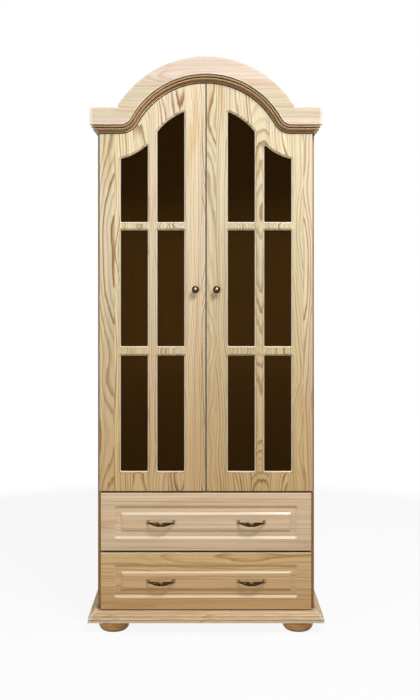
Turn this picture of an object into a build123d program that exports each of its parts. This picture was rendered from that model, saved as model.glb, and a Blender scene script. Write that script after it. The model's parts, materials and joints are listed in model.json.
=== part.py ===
from build123d import *
import math
import os

# A tall display cabinet: arched crown, two glazed doors, two drawers, moulded plinth and turned feet.
# Millimetres. +Z is up, the front faces -Y, and the origin is on the floor, below the middle of the cabinet.

# Carcass
BODY_WIDTH = 804.0
PANEL = 20.0
SIDE_PANEL = 22.0
CARCASS_FRONT = -165.0
CARCASS_BACK = 210.0
BACK_SHEET = 5.0
OUTER_X = BODY_WIDTH / 2
INNER_X = OUTER_X - SIDE_PANEL
REAR_Y = CARCASS_BACK + BACK_SHEET
EDGE_ROUND = 2.0
SHEET_INSET = 2.0
CUT_MARGIN = 5.0

# Feet and plinth
FOOT_HEIGHT = 40.0
FOOT_TOP_RADIUS = 51.0
FOOT_WAIST_RADIUS = 57.0
FOOT_WAIST_Z = 18.0
FOOT_BOTTOM_RADIUS = 46.0
FOOT_BAND = 3.0
FOOT_X = 343.0
FRONT_FOOT_Y = -144.0
REAR_FOOT_Y = 150.0
STUD_RADIUS = 4.0
STUD_LENGTH = 25.0
PLINTH_HEIGHT = 39.0
PLINTH_TOP = FOOT_HEIGHT + PLINTH_HEIGHT
PLINTH_HALF_WIDTH = 435.0
PLINTH_FRONT = -212.0
PLINTH_RAIL = 45.0
CORNER_BLOCK = 90.0

# Doors
DOOR_THICKNESS = 20.0
DOOR_GAP = 2.0
DOOR_BACK = CARCASS_FRONT - DOOR_GAP
DOOR_FRONT = DOOR_BACK - DOOR_THICKNESS
DOOR_OUTER_X = 394.0
DOOR_INNER_X = 2.0
DOOR_BOTTOM = 519.0
DOOR_ARCH_INSET = 30.0
DOOR_EDGE_ROUND = 2.5
PANE_COLUMNS = [(81.0, 180.0), (216.0, 315.6)]
PANE_ROWS = [(593.0, 1020.0), (1055.0, 1484.0)]
ARCHED_PANE_BOTTOM = 1515.0
PANE_CORNER = 4.0
PANE_LIP = 2.0
PANE_LIP_WIDTH = 7.0
PANE_ROUND = 6.0
REBATE_LAP = 8.0
REBATE_DEPTH = 10.0
REBATE_CORNER = 6.0
GLASS_THICKNESS = 4.0
GLASS_PLAY = 0.5
BEAD_WIDTH = 8.0
BEAD_KERF = 0.3
KNOB_X = 39.0
KNOB_Z = 1265.0
KNOB_SCREW_DEPTH = 11.0

# Hinges: the door turns about one upright line near its front outer edge
HINGE_X = 392.0
HINGE_Y = -179.0
HINGE_HEIGHTS = [610.0, 950.0, 1340.0, 1750.0]
CUP_SETBACK = 21.0
CUP_RADIUS = 17.5
CUP_WALL = 1.2
CUP_DEPTH = 12.0
CUP_FLANGE_RADIUS = 18.5
CUP_FLANGE = 1.0
CUP_FLOOR_PLAY = 0.2
CUP_FLOOR = 1.0
WING_HALF_HEIGHT = 29.0
WING_WIDTH = 15.0
WING_OFFSET = 6.0
WING_SCREW_SPACING = 48.0
WING_SCREW_DEPTH = 12.0
WING_SCREW_HEAD = 0.7
WING_SCREW_RADIUS = 3.5
WING_ROUND = 5.0
ARM_PIVOT_X = 376.2
ARM_PIVOT_Y = -171.7
ARM_NOSE_RADIUS = 2.5
ARM_HALF_HEIGHT = 6.0
ARM_SLOT_HALF_HEIGHT = 4.1
ARM_PLATE = 2.0
ARM_PLATE_RANGE = (-138.0, -102.0)
ARM_PLATE_HALF_HEIGHT = 24.0
ARM_PLATE_SCREW_STEP = 16.0
ARM_BODY_RANGE = (-160.0, -95.0)
ARM_BODY_THICKNESS = 6.5
ARM_SHOULDER = 3.0
ARM_SLOT_RANGE = (-180.0, -167.5)
ARM_SLOT_REACH = 12.0
LINK_REACH = 18.4
LINK_REST_ANGLE = -10.3
LINK_BEND_ALONG = 13.9
LINK_BEND_OUT = 8.8
LINK_THICKNESS = 2.4
LINK_TIP_RADIUS = 1.7
LINK_BEND_RADIUS = 3.5
LINK_HALF_HEIGHT = 3.8
PIN_RADIUS = 1.0
PIN_PLAY = 0.05

# Crown: one arched line runs all the way across, and every part of the crown keeps its distance from it
CROWN_HALF_WIDTH = 427.0
CROWN_FRONT = -212.0
FASCIA_THICKNESS = 22.0
FASCIA_LEVEL_Z = 1872.0
LEDGE_Z = 1934.0
STEP_X = 324.0
ARCH_CENTRE_Z = 1741.0
ARCH_RADIUS = 317.0
ARCH_FILLET = 40.0
OUTER_ARCH_RADIUS = 381.0
MOULDING_BACKING = 25.0
HEADER_INSET = 52.0
ROOF_SHEET = 5.0
ROOF_RADIUS = 370.0
SHOULDER_Z = 1918.0
SHOULDER_BOARD = 12.0
SHOULDER_START_X = 332.0

# Glazing: the tops of the upper panes follow a second arch
GLAZING_CENTRE_Z = 1712.0
GLAZING_RADIUS = 226.0
GLAZING_FILLET = 196.0
GLAZING_LEVEL_Z = 1745.0

# Inside the carcass
MIDDLE_PANEL_Z = 506.0
SHEET_JOINT_Z = 516.0
SHEET_GAP = 2.0
EAVES_LAP = 8.0
DRAWER_RAIL_Z = 285.0
DRAWER_RAIL_DEPTH = 60.0
SHELF_THICKNESS = 18.0
SHELF_ROUND = 3.0
SHELF_HEIGHTS = {"lower": 1029.0, "upper": 1491.0}
SHELF_FRONT = -140.0
SHELF_REAR = 188.0
SHELF_PLAY = 2.0
SHELF_PIN_RADIUS = 2.4
SHELF_PIN_REACH = 8.0
SHELF_PIN_ROWS = [-100.0, 150.0]
SHELF_PIN_PITCH = 32.0
DOWEL_RADIUS = 4.0
PANEL_DOWEL_ROWS = [-120.0, 0.0, 120.0]
RAIL_DOWEL_ROWS = [-150.0, -120.0]
HEADER_DOWEL_HEIGHTS = [1845.0, 1890.0]
DOWEL_IN_PANEL = 10.0
DOWEL_IN_RAIL = 20.0
HOLE_PLAY = 0.1
HOLE_SPARE = 1.0
PLATE_SCREW_Y = -120.0
PLATE_SCREW_DEPTH = 12.0
BUMPER_RADIUS = 3.0
BUMPER_HEIGHT = 1.8
DOOR_BUMPER_X = 60.0
DOOR_BUMPER_HEIGHTS = [522.5, 2008.0]
DRAWER_BUMPER_X = 385.0
DRAWER_BUMPER_HEIGHTS = [200.0, 400.0]

# Drawers
DRAWER_HALF_WIDTH = 389.5
DRAWER_FRONTS = {"lower": (81.0, 292.0), "upper": (299.0, 513.0)}
DRAWER_BACK = DOOR_BACK
DRAWER_FRONT = DOOR_FRONT
FIELD_ABOVE_BOTTOM = 105.5
FRAME_WIDTH = 680.0
FRAME_HEIGHT = 122.0
FRAME_CORNER = 11.0
FIELD_WIDTH = 632.0
FIELD_HEIGHT = 71.0
FIELD_BEVEL = 8.0
FIELD_ROUND = 9.0
CHANNEL_DEPTH = 5.5
CHANNEL_SLOPE = 8.5
BOX_HALF_WIDTH = 377.0
BOX_WALL = 15.0
BOX_ABOVE_BOTTOM = 27.0
BOX_HEIGHT = 150.0
BOX_REAR = 183.0
BOX_FLOOR = 5.0
BOX_FLOOR_RISE = 6.0
FLOOR_GROOVE = 4.0
RUNNER_THICKNESS = 10.0
RUNNER_HEIGHT = 20.0
RUNNER_FRONT = -140.0
RUNNER_REAR = 200.0
RUNNER_GROOVE_DEPTH = 8.0
RUNNER_PLAY = 0.5
HANDLE_X = 167.0
HANDLE_SPACING = 96.0
HANDLE_REACH = 22.0
HANDLE_DROOP = 10.0
HANDLE_FOOT = 3.0
HANDLE_SCREW_DEPTH = 5.0
HANDLE_TRIM = 10.0
FIXING_X = 300.0
FIXING_STEP = 45.0
FIXING_DEPTH = 10.0
SCREW_RADIUS = 1.9
SCREW_HEAD_RADIUS = 4.0
SCREW_HEAD = 2.2


class Arch:
    """An arched outline: level shoulders, a hollow fillet each side and a round head, all tangent."""

    def __init__(self, centre_z, radius, fillet_radius, level_z):
        self.centre_z = centre_z
        self.radius = radius
        self.fillet_radius = fillet_radius
        self.shoulder_z = level_z + fillet_radius
        self.lean = math.asin((self.shoulder_z - centre_z) / (radius + fillet_radius))
        self.shoulder_x = (radius + fillet_radius) * math.cos(self.lean)

    def level(self, inset):
        """Height of the level shoulders of the outline moved inwards by inset."""
        return self.shoulder_z - self.fillet_radius - inset

    def height(self, x, inset):
        """Height of the outline moved inwards by inset, at x."""
        radius = self.radius - inset
        fillet_radius = self.fillet_radius + inset
        if abs(x) <= radius * math.cos(self.lean):
            return self.centre_z + math.sqrt(radius**2 - x**2)
        reach = min(abs(x), self.shoulder_x) - self.shoulder_x
        return self.shoulder_z - math.sqrt(fillet_radius**2 - reach**2)

    def draw(self, inset, half_width):
        """Add the outline moved inwards by inset to the line being built, from left to right."""
        radius = self.radius - inset
        fillet_radius = self.fillet_radius + inset
        level_z = self.level(inset)
        touch_x = radius * math.cos(self.lean)
        touch_z = self.centre_z + radius * math.sin(self.lean)
        half_turn = (self.lean - 1.5 * math.pi) / 2
        bend_x = self.shoulder_x + fillet_radius * math.cos(half_turn)
        bend_z = self.shoulder_z + fillet_radius * math.sin(half_turn)
        Line((-half_width, level_z), (-self.shoulder_x, level_z))
        ThreePointArc((-self.shoulder_x, level_z), (-bend_x, bend_z), (-touch_x, touch_z))
        ThreePointArc((-touch_x, touch_z), (0, self.centre_z + radius), (touch_x, touch_z))
        ThreePointArc((touch_x, touch_z), (bend_x, bend_z), (self.shoulder_x, level_z))
        Line((self.shoulder_x, level_z), (half_width, level_z))


CROWN = Arch(ARCH_CENTRE_Z, ARCH_RADIUS, ARCH_FILLET, FASCIA_LEVEL_Z)
GLAZING = Arch(GLAZING_CENTRE_Z, GLAZING_RADIUS, GLAZING_FILLET, GLAZING_LEVEL_Z)


def save(builder, name):
    """Label a finished piece and write it."""
    builder.part.label = name
    export_step(builder.part, f"parts/{name}.step")


def upright(y):
    """The upright plane at depth y that faces the front, with X across and Z up."""
    return Plane.XZ.offset(-y)


def block(x, y, z, mode=Mode.ADD):
    """Add or cut a box that fills the given ranges."""
    with Locations(((x[0] + x[1]) / 2, (y[0] + y[1]) / 2, (z[0] + z[1]) / 2)):
        Box(x[1] - x[0], y[1] - y[0], z[1] - z[0], mode=mode)


def span(side, near, far):
    """The range from near to far, measured from the middle of the cabinet towards one side."""
    return (min(side * near, side * far), max(side * near, side * far))


def arched_face(arch, inset, half_width, bottom_z):
    """Sketch the face below an arch, down to bottom_z."""
    level_z = arch.level(inset)
    with BuildLine() as outline:
        arch.draw(inset, half_width)
        Polyline(
            (half_width, level_z),
            (half_width, bottom_z),
            (-half_width, bottom_z),
            (-half_width, level_z),
        )
    make_face(outline.line)


def keep_between(x_range):
    """Keep only what lies in an upright strip of the sketch."""
    with Locations(((x_range[0] + x_range[1]) / 2, 0)):
        Rectangle(x_range[1] - x_range[0], 2 * (ARCH_CENTRE_Z + OUTER_ARCH_RADIUS), mode=Mode.INTERSECT)


def bores(spots, radius, side, near, far, mode=Mode.SUBTRACT):
    """Bore or fill round holes along X at (y, z) spots, from near to far on one side."""
    with BuildSketch(Plane.YZ.offset(side * near)) as holes:
        with Locations(*spots):
            Circle(radius)
    extrude(holes.sketch, amount=side * (far - near), mode=mode)


def front_bores(spots, radius, y_start, y_end, mode=Mode.SUBTRACT):
    """Bore or fill round holes along Y at (x, z) spots, from y_start forwards to y_end."""
    with BuildSketch(upright(y_start)) as holes:
        with Locations(*spots):
            Circle(radius)
    extrude(holes.sketch, amount=y_start - y_end, mode=mode)


# Where the dowels and pins go: (y, z) spots on each side panel
BOTTOM_DOWELS = [(y, PLINTH_TOP + PANEL / 2) for y in PANEL_DOWEL_ROWS]
MIDDLE_DOWELS = [(y, MIDDLE_PANEL_Z + PANEL / 2) for y in PANEL_DOWEL_ROWS]
RAIL_DOWELS = [(y, DRAWER_RAIL_Z + PANEL / 2) for y in RAIL_DOWEL_ROWS]
HEADER_DOWELS = [(CARCASS_FRONT + PANEL / 2, z) for z in HEADER_DOWEL_HEIGHTS]
BACK_RAIL_DOWELS = [(CARCASS_BACK - PANEL / 2, z) for z in HEADER_DOWEL_HEIGHTS]
ALL_DOWELS = BOTTOM_DOWELS + MIDDLE_DOWELS + RAIL_DOWELS + HEADER_DOWELS + BACK_RAIL_DOWELS
PIN_SPOTS = [(y, z - SHELF_PIN_RADIUS) for y in SHELF_PIN_ROWS for z in SHELF_HEIGHTS.values()]
PIN_HOLES = [(y, z + step * SHELF_PIN_PITCH) for y, z in PIN_SPOTS for step in (-1, 0, 1)]
PLATE_SCREWS = [(PLATE_SCREW_Y, z + side * ARM_PLATE_SCREW_STEP) for z in HINGE_HEIGHTS for side in (-1, 1)]


def make_carcass():
    """The panels, rails, shelves and backs that stand still."""
    for side, name in ((-1, "left"), (1, "right")):
        with BuildPart() as panel:
            block(span(side, INNER_X, OUTER_X), (CARCASS_FRONT, CARCASS_BACK), (PLINTH_TOP, SHOULDER_Z))
            front_edges = panel.faces().sort_by(Axis.Y)[0].edges().filter_by(Axis.Z)
            fillet(front_edges.sort_by(Axis.X)[0 if side < 0 else -1], radius=EDGE_ROUND)
            dowel_depth = DOWEL_IN_PANEL + HOLE_SPARE
            bores(ALL_DOWELS, DOWEL_RADIUS + HOLE_PLAY, side, INNER_X, INNER_X + dowel_depth)
            pin_depth = SHELF_PIN_REACH + HOLE_SPARE
            bores(PIN_HOLES, SHELF_PIN_RADIUS + HOLE_PLAY, side, INNER_X, INNER_X + pin_depth)
            screw_depth = PLATE_SCREW_DEPTH + HOLE_SPARE
            bores(PLATE_SCREWS, SCREW_RADIUS + HOLE_PLAY, side, INNER_X, INNER_X + screw_depth)
        save(panel, f"{name}_side_panel")

    hole_start = INNER_X - DOWEL_IN_RAIL - HOLE_SPARE
    boards = (
        ("bottom_panel", PLINTH_TOP, CARCASS_BACK, BOTTOM_DOWELS),
        ("middle_panel", MIDDLE_PANEL_Z, CARCASS_BACK, MIDDLE_DOWELS),
        ("drawer_rail", DRAWER_RAIL_Z, CARCASS_FRONT + DRAWER_RAIL_DEPTH, RAIL_DOWELS),
    )
    for name, z, rear, dowels in boards:
        with BuildPart() as board:
            block((-INNER_X, INNER_X), (CARCASS_FRONT, rear), (z, z + PANEL))
            for side in (-1, 1):
                bores(dowels, DOWEL_RADIUS + HOLE_PLAY, side, hole_start, INNER_X)
        save(board, name)

    rails = (
        ("arched_header", CARCASS_FRONT + PANEL, HEADER_DOWELS),
        ("arched_back_rail", CARCASS_BACK, BACK_RAIL_DOWELS),
    )
    head_x = math.sqrt(ROOF_RADIUS**2 - (SHOULDER_Z - ARCH_CENTRE_Z) ** 2)
    head_z = ARCH_CENTRE_Z + ROOF_RADIUS
    for name, rear, dowels in rails:
        with BuildPart() as rail:
            with BuildSketch(upright(rear)):
                with BuildLine():
                    CROWN.draw(HEADER_INSET, INNER_X)
                    level_z = CROWN.level(HEADER_INSET)
                    Polyline((INNER_X, level_z), (INNER_X, SHOULDER_Z), (head_x, SHOULDER_Z))
                    ThreePointArc((head_x, SHOULDER_Z), (0, head_z), (-head_x, SHOULDER_Z))
                    Polyline((-head_x, SHOULDER_Z), (-INNER_X, SHOULDER_Z), (-INNER_X, level_z))
                make_face()
            extrude(amount=PANEL)
            for side in (-1, 1):
                bores(dowels, DOWEL_RADIUS + HOLE_PLAY, side, hole_start, INNER_X)
        save(rail, name)

    with BuildPart() as lower_back:
        half_width = OUTER_X - SHEET_INSET
        sheet_range = (PLINTH_TOP + BACK_SHEET, SHEET_JOINT_Z - SHEET_GAP / 2)
        block((-half_width, half_width), (CARCASS_BACK, REAR_Y), sheet_range)
    save(lower_back, "lower_back_panel")

    with BuildPart() as upper_back:
        radius = ROOF_RADIUS + SHEET_INSET
        eaves_z = SHOULDER_Z + EAVES_LAP
        eaves_x = math.sqrt(radius**2 - (eaves_z - ARCH_CENTRE_Z) ** 2)
        bottom_z = SHEET_JOINT_Z + SHEET_GAP / 2
        with BuildSketch(upright(REAR_Y)):
            with BuildLine():
                Polyline((-eaves_x, eaves_z), (-half_width, eaves_z), (-half_width, bottom_z))
                Polyline((-half_width, bottom_z), (half_width, bottom_z))
                Polyline((half_width, bottom_z), (half_width, eaves_z), (eaves_x, eaves_z))
                ThreePointArc((eaves_x, eaves_z), (0, ARCH_CENTRE_Z + radius), (-eaves_x, eaves_z))
            make_face()
        extrude(amount=BACK_SHEET)
    save(upper_back, "upper_back_panel")

    for name, z in SHELF_HEIGHTS.items():
        with BuildPart() as shelf:
            half_width = INNER_X - SHELF_PLAY
            block((-half_width, half_width), (SHELF_FRONT, SHELF_REAR), (z, z + SHELF_THICKNESS))
            fillet(shelf.faces().sort_by(Axis.Y)[0].edges().filter_by(Axis.X), radius=SHELF_ROUND)
        save(shelf, f"{name}_shelf")

    with BuildPart() as pins:
        for side in (-1, 1):
            pin_range = (INNER_X - SHELF_PIN_REACH, INNER_X + SHELF_PIN_REACH)
            bores(PIN_SPOTS, SHELF_PIN_RADIUS, side, *pin_range, mode=Mode.ADD)
    save(pins, "shelf_pins")

    with BuildPart() as dowels:
        for side in (-1, 1):
            near = INNER_X - DOWEL_IN_RAIL
            bores(ALL_DOWELS, DOWEL_RADIUS, side, near, INNER_X + DOWEL_IN_PANEL, mode=Mode.ADD)
    save(dowels, "dowels")

    with BuildPart() as runners:
        for bottom_z, _ in DRAWER_FRONTS.values():
            z = bottom_z + BOX_ABOVE_BOTTOM + BOX_HEIGHT / 2
            for side in (-1, 1):
                x_range = span(side, INNER_X - RUNNER_THICKNESS, INNER_X)
                block(x_range, (RUNNER_FRONT, RUNNER_REAR), (z - RUNNER_HEIGHT / 2, z + RUNNER_HEIGHT / 2))
    save(runners, "drawer_runners")

    with BuildPart() as bumpers:
        door_spots = [(side * DOOR_BUMPER_X, z) for side in (-1, 1) for z in DOOR_BUMPER_HEIGHTS]
        drawer_spots = [(side * DRAWER_BUMPER_X, z) for side in (-1, 1) for z in DRAWER_BUMPER_HEIGHTS]
        face_y = CARCASS_FRONT - BUMPER_HEIGHT
        front_bores(door_spots + drawer_spots, BUMPER_RADIUS, CARCASS_FRONT, face_y, Mode.ADD)
    save(bumpers, "felt_bumpers")


def plinth_section():
    """Sketch the plinth moulding: X runs inwards from its face, Y runs up from the floor."""
    with BuildLine() as outline:
        Polyline((0, FOOT_HEIGHT), (0, 47.5), (1.8, 49.3), (0, 51.1), (0, 54))
        ThreePointArc((0, 54), (0.8, 55.8), (2.5, 56.5))
        Polyline((2.5, 56.5), (6, 57), (8, 59), (8.3, 63.5))
        ThreePointArc((8.3, 63.5), (9.7, 66.2), (12.5, 67.4))
        Polyline((12.5, 67.4), (15.5, 67.9), (16, 69.5))
        ThreePointArc((16, 69.5), (20.5, 72.3), (22.5, 77))
        Polyline((22.5, 77), (22.5, PLINTH_TOP), (PLINTH_RAIL, PLINTH_TOP))
        Polyline((PLINTH_RAIL, PLINTH_TOP), (PLINTH_RAIL, FOOT_HEIGHT), (0, FOOT_HEIGHT))
    make_face(outline.line)


def make_base():
    """The mitred plinth, its corner blocks and the four turned feet."""
    corner = (PLINTH_HALF_WIDTH, PLINTH_FRONT)
    inner_corner = (PLINTH_HALF_WIDTH - PLINTH_RAIL, PLINTH_FRONT + PLINTH_RAIL)
    with BuildPart() as front:
        section_plane = Plane(origin=(-PLINTH_HALF_WIDTH, PLINTH_FRONT, 0), x_dir=(0, 1, 0), z_dir=(1, 0, 0))
        with BuildSketch(section_plane):
            plinth_section()
        extrude(amount=2 * PLINTH_HALF_WIDTH)
        with BuildSketch(Plane.XY):
            Polygon(corner, inner_corner, (corner[0], inner_corner[1]), align=None)
            mirror(about=Plane.YZ)
        extrude(amount=PLINTH_TOP + 1, mode=Mode.SUBTRACT)
    save(front, "plinth_front")

    for side, name in ((-1, "left"), (1, "right")):
        with BuildPart() as moulding:
            origin = (side * PLINTH_HALF_WIDTH, PLINTH_FRONT, 0)
            with BuildSketch(Plane(origin=origin, x_dir=(-side, 0, 0), z_dir=(0, side, 0))):
                plinth_section()
            extrude(amount=side * (REAR_Y - PLINTH_FRONT))
            with BuildSketch(Plane.XY):
                Polygon(
                    (side * corner[0], corner[1]),
                    (side * inner_corner[0], inner_corner[1]),
                    (side * inner_corner[0], corner[1]),
                    align=None,
                )
            extrude(amount=PLINTH_TOP + 1, mode=Mode.SUBTRACT)
        save(moulding, f"plinth_{name}")

    with BuildPart() as rear:
        half_width = inner_corner[0]
        block((-half_width, half_width), (REAR_Y - PANEL, REAR_Y), (FOOT_HEIGHT, PLINTH_TOP))
    save(rear, "plinth_back")

    feet_spots = [(side * FOOT_X, y) for side in (-1, 1) for y in (FRONT_FOOT_Y, REAR_FOOT_Y)]
    with BuildPart() as blocks:
        for side in (-1, 1):
            x_range = span(side, inner_corner[0] - CORNER_BLOCK, inner_corner[0])
            block(x_range, (inner_corner[1], inner_corner[1] + CORNER_BLOCK), (FOOT_HEIGHT, PLINTH_TOP))
            block(x_range, (REAR_Y - PANEL - CORNER_BLOCK, REAR_Y - PANEL), (FOOT_HEIGHT, PLINTH_TOP))
        with BuildSketch(Plane.XY.offset(FOOT_HEIGHT)):
            with Locations(*feet_spots):
                Circle(STUD_RADIUS + HOLE_PLAY)
        extrude(amount=STUD_LENGTH + HOLE_SPARE, mode=Mode.SUBTRACT)
    save(blocks, "corner_blocks")

    with BuildPart() as feet:
        for x, y in feet_spots:
            with BuildSketch(Plane.XZ.offset(-y)):
                with BuildLine():
                    Polyline((x, 0), (x + FOOT_BOTTOM_RADIUS, 0))
                    waist = (x + FOOT_WAIST_RADIUS, FOOT_WAIST_Z)
                    shoulder = (x + FOOT_TOP_RADIUS, FOOT_HEIGHT - FOOT_BAND)
                    ThreePointArc((x + FOOT_BOTTOM_RADIUS, 0), waist, shoulder)
                    Polyline(
                        shoulder,
                        (x + FOOT_TOP_RADIUS, FOOT_HEIGHT),
                        (x + STUD_RADIUS, FOOT_HEIGHT),
                        (x + STUD_RADIUS, FOOT_HEIGHT + STUD_LENGTH),
                        (x, FOOT_HEIGHT + STUD_LENGTH),
                        (x, 0),
                    )
                make_face()
            revolve(axis=Axis((x, y, 0), (0, 0, 1)))
    save(feet, "turned_feet")


def moulding_section(back, backing):
    """Sketch the crown moulding: X runs inwards from the fascia's face, Y runs up from its lower edge."""
    with BuildLine() as outline:
        Polyline((FASCIA_THICKNESS, 0), (9, 0), (9, -2.6), (7, -2.6))
        ThreePointArc((7, -2.6), (3.6, -6), (7, -9.4))
        Polyline((7, -9.4), (11, -9.4), (11, -11.4))
        ThreePointArc((11, -11.4), (8.4, -14.6), (11, -17.8))
        Polyline((11, -17.8), (16.5, -17.8), (16.5, -18.6))
        ThreePointArc((16.5, -18.6), (20.9, -20.4), (22.7, -24.8))
        Polyline((22.7, -24.8), (22.7, -27), (back, -27), (back, backing), (FASCIA_THICKNESS, backing))
        if backing > 0:
            Line((FASCIA_THICKNESS, backing), (FASCIA_THICKNESS, 0))
    make_face(outline.line)


def make_crown():
    """The arched fascia, the moulding below it, their returns along the sides, and the roof."""
    step_z = ARCH_CENTRE_Z + math.sqrt(OUTER_ARCH_RADIUS**2 - STEP_X**2)
    fascia_back = CROWN_FRONT + FASCIA_THICKNESS
    fascia_inner_x = CROWN_HALF_WIDTH - FASCIA_THICKNESS
    with BuildPart() as fascia:
        with BuildSketch(upright(fascia_back)):
            with BuildLine():
                CROWN.draw(0, CROWN_HALF_WIDTH)
                for side in (-1, 1):
                    Polyline(
                        (side * CROWN_HALF_WIDTH, FASCIA_LEVEL_Z),
                        (side * CROWN_HALF_WIDTH, LEDGE_Z),
                        (side * STEP_X, LEDGE_Z),
                        (side * STEP_X, step_z),
                    )
                ThreePointArc((-STEP_X, step_z), (0, ARCH_CENTRE_Z + OUTER_ARCH_RADIUS), (STEP_X, step_z))
            make_face()
        extrude(amount=FASCIA_THICKNESS)
        front_edges = fascia.faces().sort_by(Axis.Y)[0].outer_wire().edges()
        fillet(front_edges.filter_by(lambda edge: abs(edge.center().X) < STEP_X), radius=1.5)
        with BuildSketch(Plane.XY.offset(FASCIA_LEVEL_Z - CUT_MARGIN)):
            Polygon(
                (CROWN_HALF_WIDTH, CROWN_FRONT),
                (fascia_inner_x, fascia_back),
                (CROWN_HALF_WIDTH, fascia_back),
                align=None,
            )
            mirror(about=Plane.YZ)
        extrude(amount=LEDGE_Z - FASCIA_LEVEL_Z + 2 * CUT_MARGIN, mode=Mode.SUBTRACT)
    save(fascia, "crown_fascia")

    with BuildPart() as moulding:
        with BuildLine(Plane.XZ) as line:
            CROWN.draw(0, CROWN_HALF_WIDTH)
        origin = (-CROWN_HALF_WIDTH, CROWN_FRONT, FASCIA_LEVEL_Z)
        with BuildSketch(Plane(origin=origin, x_dir=(0, 1, 0), z_dir=(1, 0, 0))):
            moulding_section(CARCASS_FRONT - CROWN_FRONT, MOULDING_BACKING)
        sweep(path=line.wires()[0])
        with BuildSketch(Plane.XY.offset(FASCIA_LEVEL_Z - MOULDING_BACKING - CUT_MARGIN)):
            Polygon(
                (CROWN_HALF_WIDTH, CROWN_FRONT),
                (OUTER_X, CROWN_FRONT + CROWN_HALF_WIDTH - OUTER_X),
                (OUTER_X, CARCASS_FRONT + CUT_MARGIN),
                (CROWN_HALF_WIDTH + CUT_MARGIN, CARCASS_FRONT + CUT_MARGIN),
                (CROWN_HALF_WIDTH + CUT_MARGIN, CROWN_FRONT),
                align=None,
            )
            mirror(about=Plane.YZ)
        extrude(amount=2 * (MOULDING_BACKING + CUT_MARGIN), mode=Mode.SUBTRACT)
    save(moulding, "crown_moulding")

    with BuildPart() as fascia_returns:
        with BuildSketch(Plane.XY.offset(FASCIA_LEVEL_Z)):
            Polygon(
                (CROWN_HALF_WIDTH, CROWN_FRONT),
                (CROWN_HALF_WIDTH, REAR_Y),
                (OUTER_X, REAR_Y),
                (OUTER_X, CROWN_FRONT + CROWN_HALF_WIDTH - OUTER_X),
                align=None,
            )
            mirror(about=Plane.YZ)
        extrude(amount=LEDGE_Z - FASCIA_LEVEL_Z)
    save(fascia_returns, "fascia_returns")

    with BuildPart() as moulding_returns:
        origin = (CROWN_HALF_WIDTH, CROWN_FRONT, FASCIA_LEVEL_Z)
        with BuildSketch(Plane(origin=origin, x_dir=(-1, 0, 0), z_dir=(0, 1, 0))):
            moulding_section(CROWN_HALF_WIDTH - OUTER_X, 0)
        extrude(amount=REAR_Y - CROWN_FRONT)
        with BuildSketch(Plane.XY.offset(FASCIA_LEVEL_Z - MOULDING_BACKING - CUT_MARGIN)):
            Polygon(
                (CROWN_HALF_WIDTH, CROWN_FRONT),
                (OUTER_X, CROWN_FRONT + CROWN_HALF_WIDTH - OUTER_X),
                (OUTER_X, CROWN_FRONT),
                align=None,
            )
        extrude(amount=MOULDING_BACKING + 2 * CUT_MARGIN, mode=Mode.SUBTRACT)
        mirror(about=Plane.YZ)
    save(moulding_returns, "moulding_returns")

    outer_radius = ROOF_RADIUS + ROOF_SHEET
    inner_x = math.sqrt(ROOF_RADIUS**2 - (SHOULDER_Z - ARCH_CENTRE_Z) ** 2)
    outer_x = math.sqrt(outer_radius**2 - (SHOULDER_Z - ARCH_CENTRE_Z) ** 2)
    with BuildPart() as roof:
        with BuildSketch(upright(CARCASS_BACK)):
            with BuildLine():
                for radius, eaves_x in ((outer_radius, outer_x), (ROOF_RADIUS, inner_x)):
                    top = (0, ARCH_CENTRE_Z + radius)
                    ThreePointArc((-eaves_x, SHOULDER_Z), top, (eaves_x, SHOULDER_Z))
                Line((-outer_x, SHOULDER_Z), (-inner_x, SHOULDER_Z))
                Line((outer_x, SHOULDER_Z), (inner_x, SHOULDER_Z))
            make_face()
        extrude(amount=CARCASS_BACK - fascia_back)
    save(roof, "roof_sheet")

    with BuildPart() as shoulders:
        for side in (-1, 1):
            x_range = span(side, SHOULDER_START_X, OUTER_X)
            block(x_range, (fascia_back, CARCASS_BACK), (SHOULDER_Z, SHOULDER_Z + SHOULDER_BOARD))
    save(shoulders, "shoulder_boards")


def draw_panes(side, grow):
    """Sketch the six glazing openings of one door, each larger all round by grow."""
    for near, far in PANE_COLUMNS:
        x_low, x_high = span(side, near - grow, far + grow)
        for z_low, z_high in PANE_ROWS:
            with Locations(((x_low + x_high) / 2, (z_low + z_high) / 2)):
                Rectangle(x_high - x_low, z_high - z_low + 2 * grow)
        x_middle = (x_low + x_high) / 2
        low_z = ARCHED_PANE_BOTTOM - grow
        with BuildLine() as outline:
            ThreePointArc(*[(x, GLAZING.height(x, -grow)) for x in (x_low, x_middle, x_high)])
            Polyline(
                (x_high, GLAZING.height(x_high, -grow)),
                (x_high, low_z),
                (x_low, low_z),
                (x_low, GLAZING.height(x_low, -grow)),
            )
        make_face(outline.line)


def draw_rebate(side, shrink):
    """Sketch the glazing rebate at the back of one door, smaller all round by shrink."""
    bottom_z = PANE_ROWS[0][0] - REBATE_LAP + shrink
    near = PANE_COLUMNS[0][0] - REBATE_LAP + shrink
    far = PANE_COLUMNS[1][1] + REBATE_LAP - shrink
    arched_face(GLAZING, shrink - REBATE_LAP, DOOR_OUTER_X, bottom_z)
    keep_between(span(side, near, far))


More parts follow.
